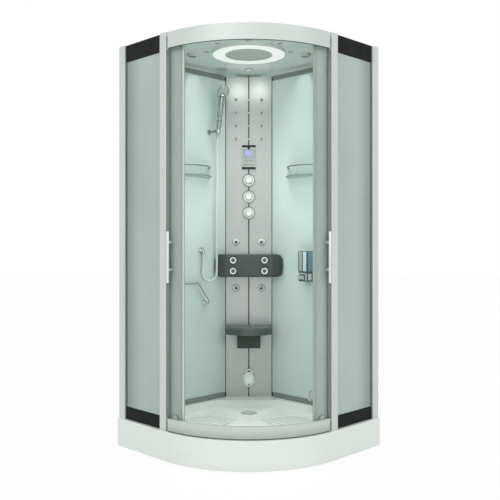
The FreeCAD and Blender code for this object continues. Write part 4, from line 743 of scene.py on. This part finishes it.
def swivel_rings():
    """Pale rings that the four larger jets turn in, each with a dark edge that is a painted shadow.
    """
    at = [on_column(s * JET_U, FACE, z) for s in (-1, 1) for z in SWIVEL_LEVELS.values()]
    ring = [(21.5, 0), (21.5, 1.5), (20.6, 4.5), (18.6, 7.2), (16.4, 8.0), (15.2, 7.4),
            (14.4, 5.5), (14.4, 0)]
    rings = turned("swivel_rings", ring, at, FRONT, "pale", "chrome")
    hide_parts("column_roses")
    # painted shadow: a dark ring round each pale ring
    edge = [(23.4, 0), (23.4, 0.8), (22.4, 1.8), (21.4, 1.8), (21.4, 0)]
    turned("swivel_painted_shadows", edge, at, FRONT, "gasket", "chrome")


def knob_plates():
    """The knobs' base plates: a grey rim, a pale dish and a groove round the knob."""
    at = [on_column(0, FACE, z) for z in KNOB_LEVELS.values()]
    rim = [(39, 0), (39, 7.5), (38, 9.5), (35.6, 10.4), (34.4, 9.6), (34.0, 8.2), (34.0, 0)]
    rims = turned("knob_rims", rim, at, FRONT, "ring_grey", "chrome", steps=72)
    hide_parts("column_roses")
    dish = [(33.8, 0), (33.8, 9.2), (32.6, 10.8), (29, 12.2), (23.5, 13.2), (21.8, 13.2),
            (21.4, 12.4), (21.4, 6), (0, 6)]
    dishes = turned("knob_dishes", dish, at, FRONT, "dish", "plastic_white", steps=72)
    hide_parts("column_roses")
    groove = [(23.6, 13.0), (23.6, 13.7), (21.6, 13.7), (21.6, 13.0)]
    turned("knob_grooves", groove, at, FRONT, "flank", "chrome", steps=72)


def knobs():
    """Each knob: a white head with a chrome band and a grey mark."""
    profile = [(17.6, 14.6), (18.6, 18), (20.0, 34), (20.4, 41), (19.6, 43.2), (17.2, 44),
               (15.6, 43.2), (0, 42.0)]
    band = [(20.6, 37.4), (20.9, 38.2), (20.9, 39.6), (20.6, 40.4)]
    for body, z in KNOB_LEVELS.items():
        at = on_column(0, FACE, z)
        head = turned(body + "_head", profile, [at], FRONT, "knob", "plastic_white", body, 72)
        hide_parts(body)
        turned(body + "_band", band, [at], FRONT, "chrome", "chrome", body, 72)
        mark = [(at + FRONT * 0.0425 + UP * 0.0112, (2.2, 6.5, 1.2))]
        blocks(body + "_mark", mark, FRONT, "grey", "plastic_grey", body, 0.5)


def swivel_nozzles():
    """A chrome nozzle with a dark bore on the ball of each larger jet."""
    nozzle = [(8.8, 6.0), (8.8, 20.0), (8.2, 21.4), (7.2, 21.4), (6.8, 20.6), (6.8, 15)]
    bore = [(6.9, 20.2), (0, 20.2)]
    for height, z in SWIVEL_LEVELS.items():
        for side, s in SIDES.items():
            body = f"{height}_{side}_jet"
            at = [on_column(s * 0.0765, 0.1923, z - 0.001)]
            turned(body + "_nozzle", nozzle, at, FRONT, "chrome", "chrome", body, 32)
            turned(body + "_bore", bore, at, FRONT, "pit", "plastic_dark", body, 24)


def backrest_jets():
    """Four round jets in the backrest, each of a rim, a ring, a cup and a hub."""
    at = [on_column(s * 0.095, REST_FACE, z) for s in (-1, 1) for z in (0.923, 0.988)]
    rim = [(24.5, 0), (24.5, 3), (23.4, 4.8), (21.6, 5.0), (20.2, 4.0), (19.8, 2.4), (19.8, 0)]
    ring = [(19.6, 0), (19.6, 3.0), (18.6, 4.4), (16.6, 5.0), (14.6, 4.2), (13.4, 2.2), (13.2, 0)]
    cup = [(13.1, 1.4), (11, 0.8), (8.4, 0.5), (8.4, 0.4)]
    hub = [(8.3, 0.3), (8.2, 2.4), (7, 3.6), (4.6, 4.0), (4.2, 3.0), (0, 3.0)]
    for name, profile, key in (("rims", rim, "black_rubber"), ("rings", ring, "pale"),
                               ("cups", cup, "grey"), ("hubs", hub, "dark")):
        piece = turned(f"rest_jet_{name}", profile, at, FRONT, key, "plastic_white", steps=56)
        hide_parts("backrest_jets")


# ------------ control panel
def control_panel():
    """Grey housing between two black end caps, a violet display and three keys."""
    def at(u, proud, z):
        return on_column(u, PANEL_FACE + proud, z)

    case = blocks("panel_case", [(at(0, 0.0078, 1.618), (83, 128, 15.2))], FRONT, "key_grey",
                  "plastic_grey", radius=3.5, segments=4)
    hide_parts("control_panel")
    caps = [(at(0, 0.008, 1.6835), (84, 15, 16)), (at(0, 0.008, 1.5515), (84, 13, 16))]
    blocks("panel_caps", caps, FRONT, "black_rubber", "plastic_dark", radius=2.5, segments=4)
    sensor = [(8, 14.8), (8, 16.0), (7, 16.8), (4, 17.0), (3.4, 16.4), (0, 16.4)]
    turned("panel_sensor", sensor, [at(0, 0, 1.672)], FRONT, "pit", "plastic_dark", steps=40)
    blocks("panel_inlay", [(at(0, 0.0157, 1.614), (70, 104, 1.2))], FRONT, "grey", "plastic_grey",
           radius=0.5, segments=2)
    screen = blocks("display_window", [(at(0, 0.0165, 1.64), (50, 36, 1.6))], FRONT, "screen",
                    "plastic_grey", radius=0.7)
    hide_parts("control_display")
    bars = [(at(0, 0.0162, z), (56, 2.4, 2.2)) for z in (1.6602, 1.6198)]
    bars += [(at(u, 0.0162, 1.64), (2.4, 42, 2.2)) for u in (-0.0268, 0.0268)]
    blocks("display_frame", bars, FRONT, "grey", "plastic_grey", radius=0.8, segments=2)
    for body, u in KEY_PLACES.items():
        key = blocks(body + "_cap", [(at(u, 0.0165, KEY_LEVEL), (17.6, 11.6, 3.0))], FRONT,
                     "key_grey", "plastic_grey", body, 1.2)
        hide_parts(body)
        blocks(body + "_bar", [(at(u, 0.0182, KEY_LEVEL), (7.0, 1.8, 0.6))], FRONT, "flank",
               "plastic_grey", body, 0.2, 2)
    pips = [at(u, 0.0163, 1.6035) for u in (-0.024, -0.008, 0.008, 0.024)]
    turned("panel_pips", [(3.2, 0), (3.0, 0.9), (2.2, 1.2), (0, 1.2)], pips, FRONT, "key_grey",
           "plastic_grey", steps=20)


# ------------ backrest, seat and steam outlet
def backrest():
    """Crowned pad whose rounded ends curve back towards the walls."""
    half, straight, rise, middle = 0.205, 0.162, 0.0685, 0.9555
    back, face, wing_start, crown, edge = 0.1786, 0.26, 0.125, 0.002, 0.013
    spread = [(-straight + 2 * straight * k / 24, rise) for k in range(1, 24)]
    bend = [math.pi / 2 * k / 15 for k in range(15)]
    ends = [(straight + (half - straight) * math.sin(t) ** 0.8, rise * math.cos(t) ** 0.55)
            for t in bend]
    stations = [(-u, tall) for u, tall in reversed(ends)] + spread + ends
    rings = []
    for u, tall in stations:
        wing = max(0.0, (abs(u) - wing_start) / (half - wing_start))
        front = face - crown * wing ** 2
        rear = max(back, abs(u) + WALL_REACH)
        depth = (front - rear) / 2
        corner = min(edge, tall * 0.8, depth * 0.9)
        rings.append([on_column(u, (front + rear) / 2 + a, middle + b)
                      for a, b in rounded_ring(depth, tall, corner)])
    piece = loft("backrest_pad", rings, "pad", "plastic_dark", angle=50)
    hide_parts("backrest")


def seat_trim():
    """Raised rim round the seat's top."""
    arc, half, level = 0.1563, 0.134, 0.5905
    turns = [math.radians(59.1) * (k / 16 - 1) for k in range(33)]
    line = [on_column(-half, w, level) for w in (0.2, 0.25, 0.3)]
    line += [on_column(arc * math.sin(t), 0.2357 + arc * math.cos(t), level) for t in turns]
    line += [on_column(half, w, level) for w in (0.3, 0.25, 0.2)]
    swept("seat_rim", line, 2.6, "dark", "plastic_dark", "seat", smooth=4)


def steam_outlet():
    """Egg-shaped dome with a scent cup in a ring at its top and a clip each side."""
    middle, wide, tall, deep = 0.26, 0.0392, 0.052, 0.041
    turns = [2 * math.pi * k / 48 for k in range(48)]
    rings = [[on_column(wide * math.cos(t), 0.1784, middle + tall * math.sin(t)) for t in turns]]
    for i in range(13):
        bulge = math.pi / 2 * i / 12.6
        rings.append([on_column(wide * (1 - 0.1 * math.sin(t)) * math.cos(bulge) * math.cos(t),
                                0.1824 + deep * math.sin(bulge),
                                middle + tall * math.cos(bulge) * math.sin(t)) for t in turns])
    dome = loft("steam_dome", rings, "pale", "plastic_white", angle=60)
    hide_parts("steam_outlet")
    cup = [on_column(0, 0.2015, 0.3025)]
    ring = [(18.8, -21), (19.6, 0), (19.2, 2.0), (17.5, 3.2), (14.4, 3.2), (12.4, 1.6), (12.4, -4)]
    turned("scent_ring", ring, cup, FRONT, "pale", "plastic_white", steps=56)
    well = [(12.3, -3), (11.6, -0.6), (0, -0.6)]
    turned("scent_cup", well, cup, FRONT, "pit", "plastic_dark", steps=40)
    button = [(5.5, 0), (5.5, 0.9), (4.2, 1.6), (0, 1.6)]
    turned("steam_slots", button, [on_column(0, 0.2195, 0.23)], FRONT, "ring_grey",
           "plastic_grey", steps=28)
    clips = [(on_column(s * 0.0325, 0.188, 0.29), (5, 15, 18)) for s in (-1, 1)]
    blocks("steam_clips", clips, FRONT, "chrome", "chrome", radius=1.6)


# ------------ soap dispenser
def soap_dispenser():
    """Two glossy windows over a chrome foot with the push lever, and a blue side."""
    out, forward = OUT["right"], ALONG["right"]

    def at(across, proud, z):
        return on_wall("right", SOAP_ALONG + across, proud, z)

    for tone, s in (("grey", -1), ("pale", 1)):
        blocks(f"soap_window_{tone}", [(at(s * 0.0165, 0.0872, 0.985), (27, 112, 2.4))], out,
               f"soap_{tone}", "plastic_grey")
    blocks("soap_side", [(at(0.0352, 0.06, 0.985), (42, 112, 2.4))], forward, "soap_blue",
           "plastic_grey")
    blocks("soap_side_foot", [(at(0.0352, 0.064, 0.896), (30, 38, 3.0))], forward, "chrome",
           "chrome", radius=1.2)
    edges = [(at(s * 0.0325, 0.0868, 0.985), (3.0, 116, 2.6)) for s in (-1, 1)]
    edges.append((at(0, 0.0868, 0.985), (3.4, 116, 2.6)))
    blocks("soap_edges", edges, out, "pit", "plastic_dark", radius=0.8, segments=2)
    foot = [(at(s * 0.0275, 0.088, 0.896), (12, 40, 5)) for s in (-1, 1)]
    foot.append((at(0, 0.088, 0.915), (44, 9, 5)))
    blocks("soap_foot", foot, out, "chrome", "chrome", radius=1.6)
    lever = blocks("soap_push", [(at(0, 0.084, 0.8925), (35.4, 24.4, 29))], out, "chrome",
                   "chrome", "soap_lever", 4.0, 4)
    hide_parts("soap_lever")


# ------------ shelves
def half_turn(first, count):
    """Angles from first to the same angle short of half a turn."""
    return [first + (math.pi - 2 * first) * k / count for k in range(count + 1)]


def shelves():
    """Each shelf: a satin plate with a dark lip, and a guard wire on chrome posts."""
    wire_first, plate_first = math.asin(45.3 / 148), math.asin(45.6 / 157)
    plate_turns, wire_turns = half_turn(plate_first, 40), half_turn(wire_first, 36)
    levels = ((0.1545, 1.48), (0.157, 1.4815), (0.157, 1.4855), (0.1545, 1.487))
    post = [(5.5, 0), (5.5, 1.6), (3.6, 3.4), (2.6, 5.5), (2.6, 50.5)]
    rose = [(9, 0), (9, 2), (7.4, 4), (4.0, 5.4), (3.6, 5.4)]
    for side in SIDES:
        rings = [[on_shelf(side, r, t, z) for t in plate_turns] for r, z in levels]
        plate = loft(f"{side}_shelf_plate", rings, "shelf", "glass_back", angle=30)
        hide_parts("shelves")
        lip = [on_shelf(side, 0.155, t, 1.4825) for t in plate_turns]
        swept(f"{side}_shelf_lip", lip, 5.4, "lip", "chrome")
        wire = [on_shelf(side, WIRE_REACH, t, 1.54) for t in wire_turns]
        swept(f"{side}_shelf_wire", wire, 3.2, "holder", "chrome")
        posts = [on_shelf(side, WIRE_REACH, math.radians(t), 1.487) for t in (32, 90, 148)]
        turned(f"{side}_shelf_posts", post, posts, UP, "chrome", "chrome", steps=20)
        ends = [on_wall(side, SHELF_ALONG + s * WIRE_REACH * math.cos(wire_first), WALL_FACE,
                        1.54) for s in (-1, 1)]
        turned(f"{side}_shelf_roses", rose, ends, OUT[side], "chrome", "chrome", steps=28)


# ------------ handset and its holder
def handset():
    """Metal handle that swells towards a round head with a nozzle face."""
    pivot = on_wall("left", HANDSET_ALONG, HANDSET_OUT, HANDSET_LEVEL)
    outward = OUT["left"]
    lean, tilt = math.radians(9), math.radians(9 + 25)
    stem = (UP * math.cos(lean) + outward * math.sin(lean)).normalized()
    look = (outward * math.cos(tilt) - UP * math.sin(tilt)).normalized()
    swell = [(0, -16.8), (7.6, -16.8), (9.8, -14), (12.2, -6), (13.2, 6), (14.0, 22), (15.2, 50),
             (16.0, 84), (16.6, 112), (17.6, 140), (19.2, 170), (20.6, 196), (20.2, 212),
             (16.5, 222), (9.0, 228), (0, 230)]
    handle = turned("handset_handle", swell, [pivot], stem, "handset", "chrome", "handset",
                    angle=60)
    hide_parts("handset")
    for name, profile, key in (
            ("bands", [(15.0, 60), (16.6, 61), (16.8, 66), (15.2, 67)], "rim_dark"),
            ("grip", [(15.6, 84), (17.2, 86), (18.0, 128), (17.0, 131)], "flank")):
        turned(f"handset_{name}", profile, [pivot], stem, key, "plastic_grey", "handset")
    middle = pivot + stem * 0.239
    shell = [(0, -9.5), (13, -9.2), (25, -7.4), (34, -3.4), (39.5, 1.6), (42.3, 7.0), (42.3, 10.6),
             (41.2, 12.8), (39.6, 13.4), (38.2, 12.4)]
    turned("handset_head", shell, [middle], look, "handset", "chrome", "handset", 72, 60)
    face = [(38.4, 11.8), (36.6, 12.9), (27, 13.4), (0, 13.6)]
    turned("handset_face", face, [middle], look, "grey", "plastic_grey", "handset", 72)
    side = UP.cross(look).normalized()
    rise = look.cross(side)
    nozzles = [place for k in range(1, 5)
               for place in circle(middle + look * 0.013, 0.0082 * k, 6 * k, 0.3 * k, side, rise)]
    turned("handset_nozzles", [(1.7, 0), (1.5, 1.4), (0.9, 1.9), (0, 1.9)], nozzles, look,
           "flank", "plastic_grey", "handset", 10)
    nut = [(9.2, 0), (9.2, 5), (8.6, 7), (8.6, 16), (9.6, 18.5), (9.4, 21), (7.3, 21)]
    turned("handset_nut", nut, [pivot - stem * 0.0375], stem, "chrome", "chrome", "handset", 36)
    clip = [(13.2, -12), (16.2, -12), (17.0, -10.5), (17.0, 10.5), (16.2, 12), (13.2, 12)]
    turned("handset_clip", clip, [pivot], stem, "chrome", "plastic_grey", "handset")
    ear = pivot + ALONG["left"] * 0.015
    blocks("handset_ear", [(ear, (3.0, 22, 20))], outward, "ring_grey", "plastic_grey", "handset",
           1.2)


def handset_holder():
    """Wall rose, arm and the pin that the handset's clip turns on."""
    arm = [(15, 0), (15, 2.4), (14, 4.4), (11, 6.0), (8.6, 9), (7.4, 14), (7.0, 24), (7.2, 46),
           (7.6, 52), (7.0, 57), (4.6, 60), (0, 61)]
    root = on_wall("left", HOLDER_ALONG, WALL_FACE, HANDSET_LEVEL)
    holder = turned("holder_arm", arm, [root], OUT["left"], "holder", "chrome", angle=50)
    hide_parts("handset_holder")
    tip = on_wall("left", HOLDER_ALONG, HANDSET_OUT, HANDSET_LEVEL)
    turned("holder_pin", [(4, 0), (4, 14), (0, 14)], [tip], -ALONG["left"], "chrome", "chrome",
           steps=24)


# ------------ ceiling
def rain_shower():
    """The rain shower's nozzles and rim, and the spots in the ring round it."""
    rain = on_column(0, RAIN_REACH, 2.119)
    nozzles = [place for k in range(1, 9) for place in circle(rain, 0.0138 * k, 6 * k, 0.2 * k)]
    turned("rain_nozzles", [(3.4, 0), (3.0, 1.4), (1.8, 2.0), (0, 2.0)], nozzles, DOWN,
           "gasket", "plastic_grey", steps=8)
    rim = [(126, -1), (126, 0.6), (124.6, 1.5), (121.5, 1.5), (120.4, 0.4), (120.4, -1)]
    turned("rain_rim", rim, [rain], DOWN, "ring_grey", "chrome", steps=96)
    spots = circle(on_column(0, RAIN_REACH, 2.1318), 0.23, 8, math.pi / 2)
    bezel = [(12.6, 0), (12.6, 1.4), (11.6, 2.8), (9.2, 3.6), (7.4, 2.6), (7.4, 0)]
    rims = turned("spot_rims", bezel, spots, DOWN, "rim_dark", "chrome", steps=36)
    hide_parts("ceiling_lights")
    lens = [(7.3, 1.6), (6.0, 2.8), (3.2, 3.5), (0, 3.6)]
    turned("spot_lenses", lens, spots, DOWN, "lamp", "plastic_white", steps=28)


def ceiling():
    """The rear lamp, the fan and speaker grilles, and a painted reflection of the column's edges on
    the roof.
    """
    rear = on_column(0, 0.283, 2.13)
    blocks("rear_lamp_frame", [(rear, (40, 40, 3.6))], DOWN, "rim_dark", "plastic_grey", radius=1.2)
    blocks("rear_lamp_lens", [(rear + DOWN * 0.0012, (29, 29, 3.6))], DOWN, "lamp",
           "plastic_white", radius=1.4)
    vents = [on_column(s * 0.312, 0.635, 2.132) for s in (-1, 1)]
    housing = [(30, 0), (30, 4), (28.6, 8), (27.4, 13.5), (26.4, 15.6), (25.0, 15.6), (24.4, 14.4),
               (24.4, 1)]
    housings = turned("vent_rims", housing, vents, DOWN, "vent", "plastic_grey", steps=56)
    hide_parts("ceiling_vents")
    for reach in (7.0, 13.0, 19.0):
        ring = [(reach, 12.6), (reach, 14.6), (reach + 1.7, 14.6), (reach + 1.7, 12.6),
                (reach, 12.6)]
        turned(f"vent_ring_{reach:.0f}", ring, vents, DOWN, "flank", "plastic_grey", steps=40)
    bars = [(place + DOWN * 0.0124, size)
            for place in vents for size in ((49, 2.2, 1.6), (2.2, 49, 1.6))]
    blocks("vent_bars", bars, DOWN, "flank", "plastic_grey", radius=0.5, segments=2)
    # painted reflection: grey lines where the column's edges show in the glossy roof
    for side, s in SIDES.items():
        line = [on_column(s * 0.1425, 0.19, 2.1312), on_column(s * 0.1125, 1.09, 2.1312)]
        swept(f"roof_seam_{side}", line, 1.4, "shade_and_reflection_grey", "plastic_grey")


# ------------ tray
def tray_details():
    """Anti-slip ribs fanned out from the drain and the drain cover's rings."""
    drain = on_column(0, 0.46, 0.115)
    bm = bmesh.new()
    for s in (-1, 1):
        for k in range(6):
            turn = math.radians(-90 + s * (26 + 8.5 * k))
            ahead = Vector((math.cos(turn), math.sin(turn), 0))
            first, last = 0.15 + 0.012 * k, 0.44 - 0.018 * k
            place = drain + ahead * (first + last) / 2 + UP * 0.0003
            add_block(bm, place, ((last - first) * 1000, 5.0, 2.0), UP, 0.9, 2, spin=turn)
    from_bmesh("tray_ribs", bm, "rib", "acrylic_white")
    rings = [(0, -26), (12, -26), (12, 0.3), (46.8, 0.3), (47, 2.6), (45.6, 4.6), (42.4, 5.3),
             (40.4, 4.2), (37, 3.6), (34, 4.4), (30, 5.3), (18, 5.5), (15.5, 4.2), (12, 3.9),
             (9.5, 4.8), (0, 5.2)]
    cover = turned("drain_rings", rings, [drain], UP, "drain", "chrome", "drain_cover", 72, 50)
    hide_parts("drain_cover")
    groove = [(36.0, 3.4), (36.0, 4.6), (33.4, 4.9), (33.4, 3.4)]
    turned("drain_groove", groove, [drain], UP, "gasket", "chrome", "drain_cover", 72)


# ------------ doors, uprights and rails
def doors():
    """Handle caps on both faces of the glass, the leading edge's seal and a painted shadow line
    beside it.
    """
    outer_cap = [(10, 0), (10, 2), (8.6, 4.2), (6.0, 5.2), (5.0, 5.2)]
    inner_cap = [(10, 0), (10, 2.4), (8.4, 5.4), (5.0, 6.6), (0, 6.8)]
    for side, s in SIDES.items():
        body = f"{side}_door"
        turn = s * math.radians(DOOR_EDGE + 7)
        outward = Vector((math.sin(turn), -math.cos(turn), 0))
        for name, profile, radius, way in (("outer", outer_cap, 0.5602, outward),
                                           ("inner", inner_cap, 0.5538, -outward)):
            at = [on_front(turn, radius, z) for z in HANDLE_LEVELS]
            turned(f"{body}_{name}_caps", profile, at, way, "chrome", "chrome", body, 40)
        # painted light and shade: the same seal lip is white on the left door, as lit, and grey on
        # the right, as shaded; the groove is a painted shadow
        for name, shift, radius, thick, key in (
                ("lip", -0.62, 0.5568, 3.9, "white" if side == "left" else "shade_and_reflection_grey"),
                ("groove", 0.35, 0.56, 1.6, "flank")):
            turn = s * math.radians(DOOR_EDGE + shift)
            line = [on_front(turn, radius, z) for z in DOOR_SPAN]
            swept(f"{body}_{name}", line, thick, key, "seal_clear", body)


def upright_trim():
    """Grey strips on the inner flanks of the middle uprights, as painted shade, and the side
    glass's gaskets.
    """
    for side, out in OUT.items():
        # painted shade: a thin grey strip where the upright's inner flank is in shade
        strip = [(on_wall(side, 0.978, 0.4034, SIDE_GLASS_MIDDLE), (23, 1846, 0.7))]
        blocks(f"{side}_flank", strip, out, "flank", "trim_grey", radius=0.2, segments=1)
        for name, reach, width in (("near", 0.0545, 9), ("far", 0.351, 4)):
            strip = [(on_wall(side, 0.979, reach, SIDE_GLASS_MIDDLE), (6, 1840, width))]
            blocks(f"{side}_gasket_{name}", strip, out, "gasket", "seal_dark", segments=2)


def rail_shadow_gaps():
    """Dark strips along the lower edges of the two curved rails, painted shadow in the gaps to the
    tray and to the roof.
    """
    # painted shadow: dark strips for the shadow gaps under the rails
    for name, radius, z in (("bottom", 0.5897, 0.1532), ("top", 0.589, 2.0655)):
        line = [on_front(math.radians(-43 + 86 * k / 60), radius, z) for k in range(61)]
        swept(f"{name}_rail_shadow_gap", line, 2.2, "gasket", "seal_dark")


for build in (body_jets, shower_hose, column_trim, swivel_rings, knob_plates, knobs,
              swivel_nozzles, backrest_jets, control_panel, backrest, seat_trim, steam_outlet,
              soap_dispenser, shelves, handset, handset_holder, rain_shower, ceiling, tray_details,
              doors, upright_trim, rail_shadow_gaps):
    build()
